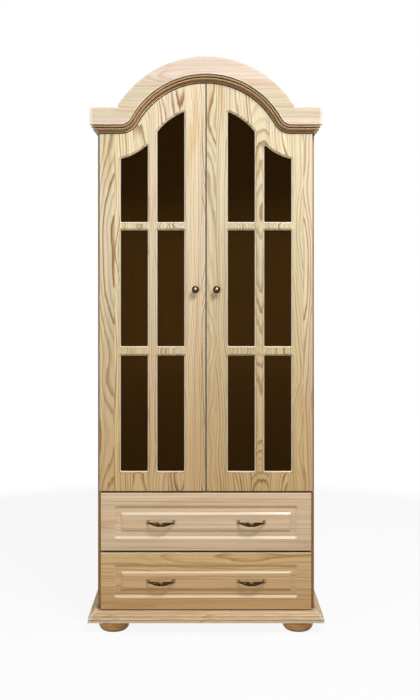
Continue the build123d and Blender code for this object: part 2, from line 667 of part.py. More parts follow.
def make_door(side, name):
    """One glazed door: leaf, glass, beads, knob, hinge cups and screws."""
    cup_x = side * (HINGE_X - CUP_SETBACK)
    wing_x = side * (HINGE_X - CUP_SETBACK - WING_OFFSET)
    cup_spots = [(cup_x, z) for z in HINGE_HEIGHTS]
    wing_spots = [(wing_x, z + step * WING_SCREW_SPACING / 2) for z in HINGE_HEIGHTS for step in (-1, 1)]
    knob_spot = (side * KNOB_X, KNOB_Z)
    leaf_range = span(side, DOOR_INNER_X, DOOR_OUTER_X)

    with BuildPart() as leaf:
        with BuildSketch(upright(DOOR_BACK)):
            arched_face(CROWN, DOOR_ARCH_INSET, DOOR_OUTER_X, DOOR_BOTTOM)
            keep_between(leaf_range)
        extrude(amount=DOOR_THICKNESS - PANE_LIP)
        with BuildSketch(upright(DOOR_BACK)) as panes:
            draw_panes(side, 0)
            fillet(panes.vertices(), radius=PANE_CORNER)
        extrude(amount=DOOR_THICKNESS, mode=Mode.SUBTRACT)
        front_face = leaf.faces().sort_by(Axis.Y)[0]
        opening_edges = [edge for wire in front_face.inner_wires() for edge in wire.edges()]
        fillet(opening_edges, radius=PANE_ROUND)
        with BuildSketch(upright(DOOR_BACK)) as rebate:
            draw_rebate(side, 0)
            fillet(rebate.vertices().group_by(Axis.Y)[0], radius=REBATE_CORNER)
        extrude(amount=REBATE_DEPTH, mode=Mode.SUBTRACT)
        with BuildSketch(upright(DOOR_FRONT + PANE_LIP)):
            arched_face(CROWN, DOOR_ARCH_INSET, DOOR_OUTER_X, DOOR_BOTTOM)
            keep_between(leaf_range)
            with BuildSketch(mode=Mode.SUBTRACT) as lips:
                draw_panes(side, PANE_LIP_WIDTH)
                fillet(lips.vertices(), radius=PANE_CORNER + PANE_LIP_WIDTH)
        extrude(amount=PANE_LIP)
        fillet(leaf.faces().sort_by(Axis.Y)[0].outer_wire().edges(), radius=DOOR_EDGE_ROUND)
        front_bores(cup_spots, CUP_RADIUS, DOOR_BACK, DOOR_BACK - CUP_DEPTH)
        front_bores(wing_spots, SCREW_RADIUS, DOOR_BACK, DOOR_BACK - WING_SCREW_DEPTH - HOLE_SPARE)
        front_bores([knob_spot], SCREW_RADIUS + HOLE_PLAY, DOOR_BACK, DOOR_FRONT)
    save(leaf, f"{name}_door_leaf")

    glass_back = DOOR_BACK - REBATE_DEPTH + GLASS_THICKNESS
    with BuildPart() as glass:
        with BuildSketch(upright(glass_back)) as sheet:
            draw_rebate(side, GLASS_PLAY)
            fillet(sheet.vertices().group_by(Axis.Y)[0], radius=REBATE_CORNER)
        extrude(amount=GLASS_THICKNESS)
    save(glass, f"{name}_door_glass")

    near = PANE_COLUMNS[0][0] - REBATE_LAP
    far = PANE_COLUMNS[1][1] + REBATE_LAP
    low_z = PANE_ROWS[0][0] - REBATE_LAP
    kerfs = (
        (near, low_z, 45),
        (far, low_z, -45),
        (near, GLAZING.height(near, -REBATE_LAP), -62),
        (far, GLAZING.height(far, -REBATE_LAP), 50),
    )
    with BuildPart() as beads:
        with BuildSketch(upright(DOOR_BACK)) as outline:
            draw_rebate(side, GLASS_PLAY)
            fillet(outline.vertices().group_by(Axis.Y)[0], radius=REBATE_CORNER)
            with BuildSketch(mode=Mode.SUBTRACT):
                draw_rebate(side, BEAD_WIDTH)
            for x, z, turn in kerfs:
                with Locations(Location((side * x, z), side * turn)):
                    Rectangle(6 * BEAD_WIDTH, BEAD_KERF, mode=Mode.SUBTRACT)
        extrude(amount=DOOR_BACK - glass_back)
    save(beads, f"{name}_glazing_beads")

    with BuildPart() as knob:
        turning_plane = Plane(origin=(side * KNOB_X, DOOR_FRONT, KNOB_Z), x_dir=(1, 0, 0), z_dir=(0, 0, -1))
        with BuildSketch(turning_plane):
            with BuildLine():
                Polyline((0, 0), (10, 0), (10, 1.5))
                ThreePointArc((10, 1.5), (6.2, 3.4), (4.5, 7))
                ThreePointArc((4.5, 7), (6.4, 12.2), (11.5, 14.2))
                ThreePointArc((11.5, 14.2), (14, 16.7), (12, 19.2))
                Line((12, 19.2), (10.8, 19.2))
                TangentArc((0, 28), (10.8, 19.2), tangent=(1, 0))
                Line((0, 28), (0, 0))
            make_face()
        revolve(axis=Axis((side * KNOB_X, 0, KNOB_Z), (0, 1, 0)))
        knob_hole_y = DOOR_FRONT - KNOB_SCREW_DEPTH - HOLE_SPARE
        front_bores([knob_spot], SCREW_RADIUS + HOLE_PLAY, DOOR_FRONT, knob_hole_y)
    save(knob, f"{name}_door_knob")

    flange_back = DOOR_BACK + CUP_FLANGE
    cup_bottom = DOOR_BACK - CUP_DEPTH + CUP_FLOOR_PLAY
    with BuildPart() as cups:
        front_bores(cup_spots, CUP_RADIUS - HOLE_PLAY, DOOR_BACK, cup_bottom, Mode.ADD)
        with BuildSketch(upright(flange_back)):
            with Locations(*cup_spots):
                Circle(CUP_FLANGE_RADIUS)
            with Locations(*[(wing_x, z) for z in HINGE_HEIGHTS]):
                RectangleRounded(WING_WIDTH, 2 * WING_HALF_HEIGHT, WING_ROUND)
        extrude(amount=CUP_FLANGE)
        front_bores(cup_spots, CUP_RADIUS - CUP_WALL, flange_back, cup_bottom + CUP_FLOOR)
        front_bores(wing_spots, SCREW_RADIUS, flange_back, DOOR_BACK)
    save(cups, f"{name}_hinge_cups")

    with BuildPart() as screws:
        wing_tip_y = DOOR_BACK - WING_SCREW_DEPTH
        front_bores(wing_spots, SCREW_RADIUS - HOLE_PLAY, flange_back, wing_tip_y, Mode.ADD)
        front_bores(wing_spots, WING_SCREW_RADIUS, flange_back + WING_SCREW_HEAD, flange_back, Mode.ADD)
        front_bores([knob_spot], SCREW_RADIUS, DOOR_BACK, DOOR_FRONT - KNOB_SCREW_DEPTH, Mode.ADD)
        front_bores([knob_spot], SCREW_HEAD_RADIUS, DOOR_BACK + SCREW_HEAD, DOOR_BACK, Mode.ADD)
    save(screws, f"{name}_door_screws")


def make_hinge_arms(side, name):
    """The arms screwed to one side panel, and the links between the arms and the door's cups."""
    plate_x = INNER_X - ARM_PLATE
    body_x = plate_x - ARM_BODY_THICKNESS
    body_front, body_rear = ARM_BODY_RANGE
    pivot = (side * ARM_PIVOT_X, ARM_PIVOT_Y)
    with BuildPart() as arms:
        for z in HINGE_HEIGHTS:
            plate_z = (z - ARM_PLATE_HALF_HEIGHT, z + ARM_PLATE_HALF_HEIGHT)
            block(span(side, plate_x, INNER_X), ARM_PLATE_RANGE, plate_z)
            with BuildSketch(Plane.XY.offset(z - ARM_HALF_HEIGHT)):
                with Locations(pivot):
                    Circle(ARM_NOSE_RADIUS)
                Polygon(
                    (side * (ARM_PIVOT_X + ARM_NOSE_RADIUS), ARM_PIVOT_Y),
                    (side * plate_x, body_front),
                    (side * plate_x, body_rear),
                    (side * body_x, body_rear),
                    (side * body_x, body_front - ARM_SHOULDER),
                    (side * (ARM_PIVOT_X - ARM_NOSE_RADIUS), ARM_PIVOT_Y),
                    align=None,
                )
            extrude(amount=2 * ARM_HALF_HEIGHT)
            slot_z = (z - ARM_SLOT_HALF_HEIGHT, z + ARM_SLOT_HALF_HEIGHT)
            block(span(side, plate_x - ARM_SLOT_REACH, OUTER_X), ARM_SLOT_RANGE, slot_z, Mode.SUBTRACT)
            with BuildSketch(Plane.XY.offset(z - ARM_HALF_HEIGHT)):
                with Locations(pivot):
                    Circle(PIN_RADIUS + PIN_PLAY)
            extrude(amount=2 * ARM_HALF_HEIGHT, mode=Mode.SUBTRACT)
        bores(PLATE_SCREWS, SCREW_RADIUS + HOLE_PLAY, side, plate_x - HOLE_SPARE, INNER_X + HOLE_SPARE)
    save(arms, f"{name}_hinge_arms")

    angle = math.radians(LINK_REST_ANGLE)
    along = (math.cos(angle), math.sin(angle))
    out = (-along[1], along[0])
    tip = (LINK_REACH * along[0], LINK_REACH * along[1])
    bend = tuple(LINK_BEND_ALONG * along[i] + LINK_BEND_OUT * out[i] for i in (0, 1))
    local = [(0.0, 0.0), bend, tip]
    points = [(side * (ARM_PIVOT_X - dx), ARM_PIVOT_Y + dy) for dx, dy in local]
    with BuildPart() as links:
        for z in HINGE_HEIGHTS:
            with BuildSketch(Plane.XY.offset(z - LINK_HALF_HEIGHT)):
                with BuildLine():
                    FilletPolyline(*points, radius=LINK_BEND_RADIUS)
                trace(line_width=LINK_THICKNESS)
                with Locations(points[0]):
                    Circle(ARM_NOSE_RADIUS - 0.1)
                with Locations(points[-1]):
                    Circle(LINK_TIP_RADIUS)
            extrude(amount=2 * LINK_HALF_HEIGHT)
            with BuildSketch(Plane.XY.offset(z - ARM_HALF_HEIGHT)):
                with Locations(pivot):
                    Circle(PIN_RADIUS)
            extrude(amount=2 * ARM_HALF_HEIGHT)
    save(links, f"{name}_hinge_links")


def make_arm_screws():
    """The screws that hold the hinge arms' plates to both side panels."""
    plate_x = INNER_X - ARM_PLATE
    with BuildPart() as screws:
        for side in (-1, 1):
            bores(PLATE_SCREWS, SCREW_RADIUS, side, plate_x, INNER_X + PLATE_SCREW_DEPTH, mode=Mode.ADD)
            bores(PLATE_SCREWS, SCREW_HEAD_RADIUS, side, plate_x - SCREW_HEAD, plate_x, mode=Mode.ADD)
    save(screws, "hinge_arm_screws")


def add_bow_handle(x, z):
    """Add one cast bow handle, with two leaf-shaped swellings and a collar, to the part being built."""
    droop = math.radians(HANDLE_DROOP)
    half = HANDLE_SPACING / 2
    leaf = [(0.0, 3.6), (0.06, 2.9), (0.13, 2.5), (0.22, 3.6), (0.31, 4.5), (0.40, 3.4), (0.455, 2.9)]
    collar = [(0.475, 4.6), (0.5, 5.2), (0.525, 4.6)]
    sections = []
    for place, radius in leaf + collar + [(1 - place, radius) for place, radius in reversed(leaf)]:
        turn = math.pi * place
        reach = HANDLE_REACH * math.sin(turn)
        forward = HANDLE_REACH * math.cos(turn)
        centre = Vector(x - half * math.cos(turn), DRAWER_FRONT, z)
        centre -= Vector(0, math.cos(droop), math.sin(droop)) * reach
        ahead = (half * math.sin(turn), -forward * math.cos(droop), -forward * math.sin(droop))
        across = (0, math.sin(droop), -math.cos(droop))
        with BuildSketch(Plane(origin=centre, x_dir=across, z_dir=ahead)) as section:
            Circle(radius)
        sections.append(section.sketch)
    loft(sections)
    with BuildSketch(upright(DRAWER_FRONT)) as feet:
        with Locations((x - half, z), (x + half, z)):
            Ellipse(6, 8.5)
    extrude(feet.sketch, amount=HANDLE_FOOT)


def make_drawer(name):
    """One drawer: decorated front, box, handles and screws."""
    bottom_z, top_z = DRAWER_FRONTS[name]
    field_z = bottom_z + FIELD_ABOVE_BOTTOM
    box_z = bottom_z + BOX_ABOVE_BOTTOM
    box_top = box_z + BOX_HEIGHT
    inner_x = BOX_HALF_WIDTH - BOX_WALL
    box_front = DRAWER_BACK + BOX_WALL
    floor_z = box_z + BOX_FLOOR_RISE
    handle_xs = (-HANDLE_X, HANDLE_X)
    handle_spots = [(x + step * HANDLE_SPACING / 2, field_z) for x in handle_xs for step in (-1, 1)]
    fixing_spots = [(i * FIXING_X, field_z + j * FIXING_STEP) for i in (-1, 1) for j in (-1, 1)]

    with BuildPart() as front:
        block((-DRAWER_HALF_WIDTH, DRAWER_HALF_WIDTH), (DRAWER_FRONT, DRAWER_BACK), (bottom_z, top_z))
        fillet(front.faces().sort_by(Axis.Y)[0].edges(), radius=DOOR_EDGE_ROUND)
        for depth, inset in ((0.0, 0.0), (CHANNEL_DEPTH, CHANNEL_SLOPE)):
            with BuildSketch(upright(DRAWER_FRONT + depth)):
                with Locations((0, field_z)):
                    RectangleRounded(FRAME_WIDTH - 2 * inset, FRAME_HEIGHT - 2 * inset, FRAME_CORNER - inset)
        loft(ruled=True, mode=Mode.SUBTRACT)
        for depth, inset in ((CHANNEL_DEPTH, 0.0), (0.0, FIELD_BEVEL)):
            with BuildSketch(upright(DRAWER_FRONT + depth)):
                with Locations((0, field_z)):
                    Rectangle(FIELD_WIDTH - 2 * inset, FIELD_HEIGHT - 2 * inset)
        loft(ruled=True)
        foremost = front.faces().sort_by(Axis.Y)[:2]
        fillet(foremost.sort_by(SortBy.AREA)[0].edges(), radius=FIELD_ROUND)
        front_bores(handle_spots, SCREW_RADIUS + HOLE_PLAY, DRAWER_BACK, DRAWER_FRONT)
        front_bores(fixing_spots, SCREW_RADIUS, DRAWER_BACK, DRAWER_BACK - FIXING_DEPTH - HOLE_SPARE)
    save(front, f"{name}_drawer_front")

    groove_z = box_z + BOX_HEIGHT / 2
    groove_half = RUNNER_HEIGHT / 2 + RUNNER_PLAY
    with BuildPart() as sides:
        for side in (-1, 1):
            block(span(side, inner_x, BOX_HALF_WIDTH), (DRAWER_BACK, BOX_REAR), (box_z, box_top))
            groove_x = span(side, BOX_HALF_WIDTH - RUNNER_GROOVE_DEPTH, BOX_HALF_WIDTH)
            groove_range = (groove_z - groove_half, groove_z + groove_half)
            block(groove_x, (RUNNER_FRONT - CUT_MARGIN, BOX_REAR), groove_range, Mode.SUBTRACT)
            floor_x = span(side, inner_x, inner_x + FLOOR_GROOVE)
            floor_range = (floor_z, floor_z + BOX_FLOOR)
            block(floor_x, (DRAWER_BACK, BOX_REAR), floor_range, Mode.SUBTRACT)
    save(sides, f"{name}_drawer_sides")

    with BuildPart() as inner_front:
        block((-inner_x, inner_x), (DRAWER_BACK, box_front), (box_z, box_top))
        floor_y = (box_front - FLOOR_GROOVE, box_front)
        block((-inner_x, inner_x), floor_y, (floor_z, floor_z + BOX_FLOOR), Mode.SUBTRACT)
        front_bores(handle_spots + fixing_spots, SCREW_RADIUS + HOLE_PLAY, box_front, DRAWER_BACK)
    save(inner_front, f"{name}_drawer_inner_front")

    with BuildPart() as back:
        block((-inner_x, inner_x), (BOX_REAR - BOX_WALL, BOX_REAR), (floor_z + BOX_FLOOR, box_top))
    save(back, f"{name}_drawer_back")

    with BuildPart() as floor:
        half_width = inner_x + FLOOR_GROOVE
        block((-half_width, half_width), (box_front - FLOOR_GROOVE, BOX_REAR), (floor_z, floor_z + BOX_FLOOR))
    save(floor, f"{name}_drawer_bottom")

    with BuildPart() as handles:
        for x in handle_xs:
            add_bow_handle(x, field_z)
        behind = (DRAWER_FRONT, DRAWER_FRONT + HANDLE_TRIM)
        block((-DRAWER_HALF_WIDTH, DRAWER_HALF_WIDTH), behind, (bottom_z, top_z), Mode.SUBTRACT)
        hole_y = DRAWER_FRONT - HANDLE_SCREW_DEPTH - HOLE_SPARE
        front_bores(handle_spots, SCREW_RADIUS + HOLE_PLAY, DRAWER_FRONT, hole_y)
    save(handles, f"{name}_drawer_handles")

    with BuildPart() as screws:
        front_bores(handle_spots, SCREW_RADIUS, box_front, DRAWER_FRONT - HANDLE_SCREW_DEPTH, Mode.ADD)
        front_bores(fixing_spots, SCREW_RADIUS - HOLE_PLAY, box_front, DRAWER_BACK - FIXING_DEPTH, Mode.ADD)
        head_y = box_front + SCREW_HEAD
        front_bores(handle_spots + fixing_spots, SCREW_HEAD_RADIUS, head_y, box_front, Mode.ADD)
    save(screws, f"{name}_drawer_screws")


os.makedirs("parts", exist_ok=True)
make_carcass()
make_base()
make_crown()
for door_side, door_name in ((-1, "left"), (1, "right")):
    make_door(door_side, door_name)
    make_hinge_arms(door_side, door_name)
make_arm_screws()
for drawer_name in DRAWER_FRONTS:
    make_drawer(drawer_name)
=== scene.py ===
"""A tall display cabinet in lacquered pine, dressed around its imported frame.

The cabinet has an arched crown, two glazed doors, two drawers with bow handles, a moulded plinth
and turned feet. Everything is in metres. The front faces -Y, +Z is up, and the floor is at zero.
"""

from __future__ import annotations

import json
import logging
import math
from dataclasses import dataclass, field
from enum import Enum
from typing import Callable, Iterable, Sequence, Union

import bmesh
import bpy
from mathutils import Matrix, Vector

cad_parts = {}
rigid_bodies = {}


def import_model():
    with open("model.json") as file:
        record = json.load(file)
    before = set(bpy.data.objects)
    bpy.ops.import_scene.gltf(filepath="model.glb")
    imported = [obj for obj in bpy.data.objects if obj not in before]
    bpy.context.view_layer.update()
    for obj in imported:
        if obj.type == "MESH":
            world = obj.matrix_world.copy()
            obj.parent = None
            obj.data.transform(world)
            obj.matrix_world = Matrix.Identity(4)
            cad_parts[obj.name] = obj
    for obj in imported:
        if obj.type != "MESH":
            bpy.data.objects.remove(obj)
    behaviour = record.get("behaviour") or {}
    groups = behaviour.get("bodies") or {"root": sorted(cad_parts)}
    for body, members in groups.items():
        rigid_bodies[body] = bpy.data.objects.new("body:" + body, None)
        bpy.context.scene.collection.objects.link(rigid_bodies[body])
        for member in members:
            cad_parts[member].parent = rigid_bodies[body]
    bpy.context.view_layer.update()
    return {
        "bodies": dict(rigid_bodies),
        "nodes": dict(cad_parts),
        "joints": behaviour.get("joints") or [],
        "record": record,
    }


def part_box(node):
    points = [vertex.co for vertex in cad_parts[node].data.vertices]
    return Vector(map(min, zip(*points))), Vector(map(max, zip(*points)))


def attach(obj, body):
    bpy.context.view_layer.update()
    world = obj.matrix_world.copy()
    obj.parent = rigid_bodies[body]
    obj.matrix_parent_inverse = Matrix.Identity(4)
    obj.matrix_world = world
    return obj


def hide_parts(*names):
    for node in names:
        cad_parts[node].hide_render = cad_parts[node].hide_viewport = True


LOG = logging.getLogger("display_cabinet")

Colour = tuple[float, float, float]
Point = tuple[float, float, float]
Range = tuple[float, float]
Socket = bpy.types.NodeSocket
Value = Union[float, int, Sequence[float], bpy.types.NodeSocket]

PAINTED_HIGHLIGHT = "painted_highlight"
WHITE: Colour = (1.0, 1.0, 1.0)
LIBRARY: dict[str, bpy.types.NodeTree] = {}


class Grain(Enum):
    """Which way a board lies: the row axes across its face, into its thickness and along its fibres."""

    UPRIGHT = "XYZ"
    UPRIGHT_SIDE = "YXZ"
    LEVEL_FRONT = "ZYX"
    LEVEL_FLAT = "YZX"
    DEPTHWISE = "ZXY"
    DEPTHWISE_FLAT = "XZY"


@dataclass
class Graph:
    """A node tree under construction, with short ways to add the nodes that the finishes use."""

    tree: bpy.types.NodeTree

    def add(self, kind: str, **settings: object) -> bpy.types.Node:
        """Add one node.

        Args:
            kind: The node's Blender type.
            settings: Attributes of the node.

        Returns:
            The new node.
        """
        node = self.tree.nodes.new(kind)
        for key, value in settings.items():
            setattr(node, key, value)
        return node

    def feed(self, socket: Socket, value: Value) -> None:
        """Link another socket to this one, or set its own value.

        Args:
            socket: The input.
            value: The other socket, or the value.
        """
        if isinstance(value, bpy.types.NodeSocket):
            self.tree.links.new(value, socket)
        else:
            socket.default_value = value

    def math(self, operation: str, *values: Value, clamp: bool = False) -> Socket:
        """Return the result of a Math node.

        Args:
            operation: The node's operation.
            values: Numbers or sockets, in the node's order.
            clamp: Whether the result is kept between 0 and 1.

        Returns:
            The result's socket.
        """
        node = self.add("ShaderNodeMath", operation=operation, use_clamp=clamp)
        for socket, value in zip(node.inputs, values):
            self.feed(socket, value)
        return node.outputs[0]

    def times(self, first: Value, second: Value, clamp: bool = False) -> Socket:
        """Return the product of two values."""
        return self.math("MULTIPLY", first, second, clamp=clamp)

    def plus(self, first: Value, second: Value, clamp: bool = False) -> Socket:
        """Return the sum of two values."""
        return self.math("ADD", first, second, clamp=clamp)

    def minus(self, first: Value, second: Value) -> Socket:
        """Return the first value less the second."""
        return self.math("SUBTRACT", first, second)

    def ease(self, value: Value, low: float, high: float) -> Socket:
        """Return a smooth step.

        Args:
            value: What is eased.
            low: Where the step is 0.
            high: Where the step is 1.

        Returns:
            The step's socket.
        """
        node = self.add("ShaderNodeMapRange", interpolation_type="SMOOTHSTEP")
        self.feed(node.inputs["Value"], value)
        node.inputs["From Min"].default_value = low
        node.inputs["From Max"].default_value = high
        return node.outputs["Result"]

    def hump(self, value: Value, rises: Range, falls: Range) -> Socket:
        """Return a mask that rises smoothly over one range of a value and falls again over another."""
        return self.times(self.ease(value, *rises), self.minus(1.0, self.ease(value, *falls)))

    def span(self, value: Value, low: Value, high: Value) -> Socket:
        """Return a value between two others, clamped.

        Args:
            value: A share from 0 to 1.
            low: The result at 0.
            high: The result at 1.

        Returns:
            The result's socket.
        """
        node = self.add("ShaderNodeMapRange")
        self.feed(node.inputs["Value"], value)
        self.feed(node.inputs["To Min"], low)
        self.feed(node.inputs["To Max"], high)
        return node.outputs["Result"]

    def blend(self, factor: Value, first: Value, second: Value, mode: str = "MIX") -> Socket:
        """Return two colours mixed.

        Args:
            factor: How much of the second colour shows.
            first: The first colour, as a socket or as red, green and blue.
            second: The second colour.
            mode: The blend type.

        Returns:
            The mixed colour's socket.
        """
        node = self.add("ShaderNodeMix", data_type="RGBA", blend_type=mode)
        self.feed(node.inputs[0], factor)
        for socket, value in ((node.inputs[6], first), (node.inputs[7], second)):
            self.feed(socket, value if isinstance(value, bpy.types.NodeSocket) else (*value, 1.0))
        return node.outputs[2]

    def shaded(self, colour: Value, level: Value) -> Socket:
        """Return a colour at another level of brightness."""
        return self.blend(1.0, colour, self.vector(level, level, level), "MULTIPLY")

    def vector(self, *values: Value) -> Socket:
        """Return a vector made of three values.

        Args:
            values: Its x, y and z.

        Returns:
            The vector's socket.
        """
        node = self.add("ShaderNodeCombineXYZ")
        for socket, value in zip(node.inputs, values):
            self.feed(socket, value)
        return node.outputs[0]

    def parts(self, vector: Value) -> tuple[Socket, Socket, Socket]:
        """Return the three components of a vector.

        Args:
            vector: The vector.

        Returns:
            Its x, y and z.
        """
        node = self.add("ShaderNodeSeparateXYZ")
        self.feed(node.inputs[0], vector)
        return node.outputs[0], node.outputs[1], node.outputs[2]

    def scaled(self, vector: Value, scale: float) -> Socket:
        """Return a vector at another scale.

        Args:
            vector: The vector.
            scale: The scale.

        Returns:
            The scaled vector's socket.
        """
        node = self.add("ShaderNodeVectorMath", operation="SCALE")
        self.feed(node.inputs[0], vector)
        node.inputs["Scale"].default_value = scale
        return node.outputs[0]

    def drawn_out(self, place: Sequence[Value], fine: float, long: float, start: Value = 0.0) -> Socket:
        """Return a position scaled for marks that run along the fibres.

        Args:
            place: The position across the board, into it and along its fibres.
            fine: The scale across and into the board.
            long: The scale along the fibres.
            start: Where the marks start, which sets one stave apart from the next.

        Returns:
            The scaled position's socket.
        """
        across, depth, along = place
        along = self.plus(self.times(along, long), start)
        return self.vector(self.times(across, fine), self.times(depth, fine), along)

    def noise(self, vector: Value, detail: float = 2.0, roughness: float = 0.5) -> Socket:
        """Return fractal noise between about 0 and 1.

        Args:
            vector: The scaled position.
            detail: How many finer layers it has.
            roughness: How strong these are.

        Returns:
            The noise's socket.
        """
        node = self.add("ShaderNodeTexNoise")
        self.feed(node.inputs["Vector"], vector)
        node.inputs["Scale"].default_value = 1.0
        node.inputs["Detail"].default_value = detail
        node.inputs["Roughness"].default_value = roughness
        return node.outputs[0]

    def bump(self, shader: bpy.types.Node, height: Socket, strength: float, depth: float) -> None:
        """Raise and sink a shader's surface.

        Args:
            shader: The shader.
            height: How high each point stands.
            strength: How much of the relief shows.
            depth: How deep the relief is.
        """
        node = self.add("ShaderNodeBump")
        node.inputs["Strength"].default_value = strength
        node.inputs["Distance"].default_value = depth
        self.feed(node.inputs["Height"], height)
        self.feed(shader.inputs["Normal"], node.outputs["Normal"])

    def group(self, effect: Effect, **values: Value) -> bpy.types.Node:
        """Place an effect's node group.

        Args:
            effect: The effect.
            values: Its inputs, named as its sockets with underscores for spaces.

        Returns:
            The group's node.
        """
        node = self.add("ShaderNodeGroup", node_tree=effect.tree())
        for key, value in values.items():
            self.feed(node.inputs[key.replace("_", " ").title()], value)
        return node


class Effect:
    """A shader node group that several finishes share. Each kind is built once."""

    name: str = ""
    vectors: tuple[str, ...] = ()
    numbers: dict[str, float] = {}
    outputs: tuple[str, ...] = ("Mask",)

    def tree(self) -> bpy.types.NodeTree:
        """Build the group the first time that it is asked for.

        Returns:
            The group's tree.
        """
        if self.name not in LIBRARY:
            tree = bpy.data.node_groups.new(self.name, "ShaderNodeTree")
            for label in self.vectors:
                tree.interface.new_socket(name=label, in_out="INPUT", socket_type="NodeSocketVector")
            for label, default in self.numbers.items():
                socket = tree.interface.new_socket(name=label, in_out="INPUT", socket_type="NodeSocketFloat")
                socket.default_value = default
            for label in self.outputs:
                tree.interface.new_socket(name=label, in_out="OUTPUT", socket_type="NodeSocketFloat")
            graph = Graph(tree)
            entry, leave = graph.add("NodeGroupInput"), graph.add("NodeGroupOutput")
            made = self.build(graph, {socket.name: socket for socket in entry.outputs})
            for label in self.outputs:
                graph.feed(leave.inputs[label], made[label])
            LIBRARY[self.name] = tree
        return LIBRARY[self.name]

    def build(self, graph: Graph, given: dict[str, Socket]) -> dict[str, Socket]:
        """Add the group's nodes.

        Args:
            graph: The group's graph.
            given: The group's inputs by name.

        Returns:
            The group's outputs by name.
        """
        raise NotImplementedError


class PineFigure(Effect):
    """The figure of glued pine staves: growth rings that run out as flames, fibres, tones and glue lines."""

    name = "pine figure"
    vectors = ("Position",)
    numbers = {"Stave Width": 0.065, "Ring Spacing": 0.005, "Flame": 0.035, "Seed": 0.0}
    outputs = ("Latewood", "Streak", "Resin", "Tone", "Hue", "Joint", "Height")

    stray_scale: float = 9.0
    stray_row: float = 3.0
    stave_stray: float = 0.03
    seed_shift: float = 0.37
    heart_range: float = 3.4
    heart_depth: float = 0.05
    rise_scale: float = 1.3
    rise_row: float = 2.0
    rise_shift: float = 7.31
    rise_spread: float = 40.0
    rise_gain: float = 3.0
    slopes: Range = (-0.022, 0.022)
    flatness: Range = (0.8, 1.4)
    ring_waver: float = 1.5
    ring_darkens: Range = (0.40, 0.86)
    ring_ends: Range = (0.90, 1.0)
    ring_strength: Range = (0.18, 1.0)
    ring_contrast: float = 1.7
    broad_shift: float = 5.1
    pocket_shift: float = 9.7
    broad_share: float = 0.72
    fibre_share: float = 0.28
    pockets: Range = (0.56, 0.76)
    joint_width: float = 0.0008
    late_height: float = 0.5
    fibre_height: float = 0.35

    def build(self, graph: Graph, given: dict[str, Socket]) -> dict[str, Socket]:
        """Lay the staves side by side and cut each one from its own tree.

        Args:
            graph: The group's graph.
            given: The position, the sizes and the seed.

        Returns:
            The masks of rings, streaks, resin and joints, each stave's tone and hue, and the relief.
        """
        across, depth, along = place = graph.parts(given["Position"])
        width, seed = given["Stave Width"], given["Seed"]
        strip = graph.vector(graph.times(across, self.stray_scale), seed, self.stray_row)
        wander = graph.noise(strip, detail=0.0)
        strayed = graph.plus(across, graph.times(graph.minus(wander, 0.5), self.stave_stray))
        row = graph.plus(graph.math("DIVIDE", strayed, width), graph.times(seed, self.seed_shift))
        index = graph.math("FLOOR", row)
        within = graph.minus(graph.math("FRACT", row), 0.5)
        stave = graph.add("ShaderNodeTexWhiteNoise", noise_dimensions="2D")
        graph.feed(stave.inputs["Vector"], graph.vector(index, seed, 0.0))
        first, second, third = graph.parts(stave.outputs["Color"])

        slow = graph.plus(graph.times(along, self.rise_scale), graph.times(third, self.rise_spread))
        trunk = graph.vector(graph.times(index, self.rise_shift), graph.plus(seed, self.rise_row), slow)
        rise = graph.noise(trunk, detail=2.0)
        slope = graph.times(graph.span(second, *self.slopes), along)
        climb = graph.plus(graph.times(graph.times(rise, given["Flame"]), self.rise_gain), slope)
        below = graph.plus(graph.math("PINGPONG", depth, self.heart_depth), climb)
        heart = graph.times(graph.minus(first, 0.5), self.heart_range)
        aside = graph.times(graph.times(graph.minus(within, heart), width), graph.span(third, *self.flatness))
        squares = graph.plus(graph.math("POWER", aside, 2.0), graph.math("POWER", below, 2.0))
        rings = graph.math("DIVIDE", graph.math("SQRT", squares), given["Ring Spacing"])

        waver = graph.noise(graph.drawn_out(place, fine=30.0, long=2.2), detail=3.0, roughness=0.6)
        rings = graph.plus(rings, graph.times(waver, self.ring_waver))
        ring = graph.math("FRACT", rings)
        dark = graph.hump(ring, self.ring_darkens, self.ring_ends)
        uneven = graph.add("ShaderNodeTexWhiteNoise", noise_dimensions="3D")
        graph.feed(uneven.inputs["Vector"], graph.vector(graph.math("FLOOR", rings), index, seed))
        weight = graph.math("POWER", uneven.outputs["Value"], self.ring_contrast)
        latewood = graph.times(dark, graph.span(weight, *self.ring_strength))

        fibre = graph.noise(graph.drawn_out(place, fine=1150.0, long=26.0), detail=2.0)
        start = graph.times(index, self.broad_shift)
        broad = graph.noise(graph.drawn_out(place, fine=95.0, long=1.7, start=start), detail=3.0)
        start = graph.times(index, self.pocket_shift)
        pocket = graph.noise(graph.drawn_out(place, fine=26.0, long=2.6, start=start), detail=2.0)
        edge = graph.times(graph.minus(0.5, graph.math("ABSOLUTE", within)), width)
        joint = graph.minus(1.0, graph.ease(edge, 0.0, self.joint_width))
        raised = graph.plus(graph.times(latewood, self.late_height), graph.times(fibre, self.fibre_height))
        return {
            "Latewood": latewood,
            "Streak": graph.plus(graph.times(broad, self.broad_share), graph.times(fibre, self.fibre_share)),
            "Resin": graph.ease(pocket, *self.pockets),
            "Tone": third,
            "Hue": second,
            "Joint": joint,
            "Height": graph.minus(raised, joint),
        }


class Hollows(Effect):
    """Where a surface lies in a groove or a corner: the mask of the painted shade that falls there."""

    name = "hollows"
    numbers = {"Reach": 0.008, "Strength": 1.0}
    falloff: float = 1.3

    def build(self, graph: Graph, given: dict[str, Socket]) -> dict[str, Socket]:
        """Turn the open sky above a point into a mask of hollows.

        Args:
            graph: The group's graph.
            given: How far the sky is searched, and the mask's strength.

        Returns:
            The mask.
        """
        sky = graph.add("ShaderNodeAmbientOcclusion", samples=6)
        graph.feed(sky.inputs["Distance"], given["Reach"])
        covered = graph.minus(1.0, graph.math("POWER", sky.outputs["AO"], self.falloff))
        return {"Mask": graph.times(covered, given["Strength"], clamp=True)}


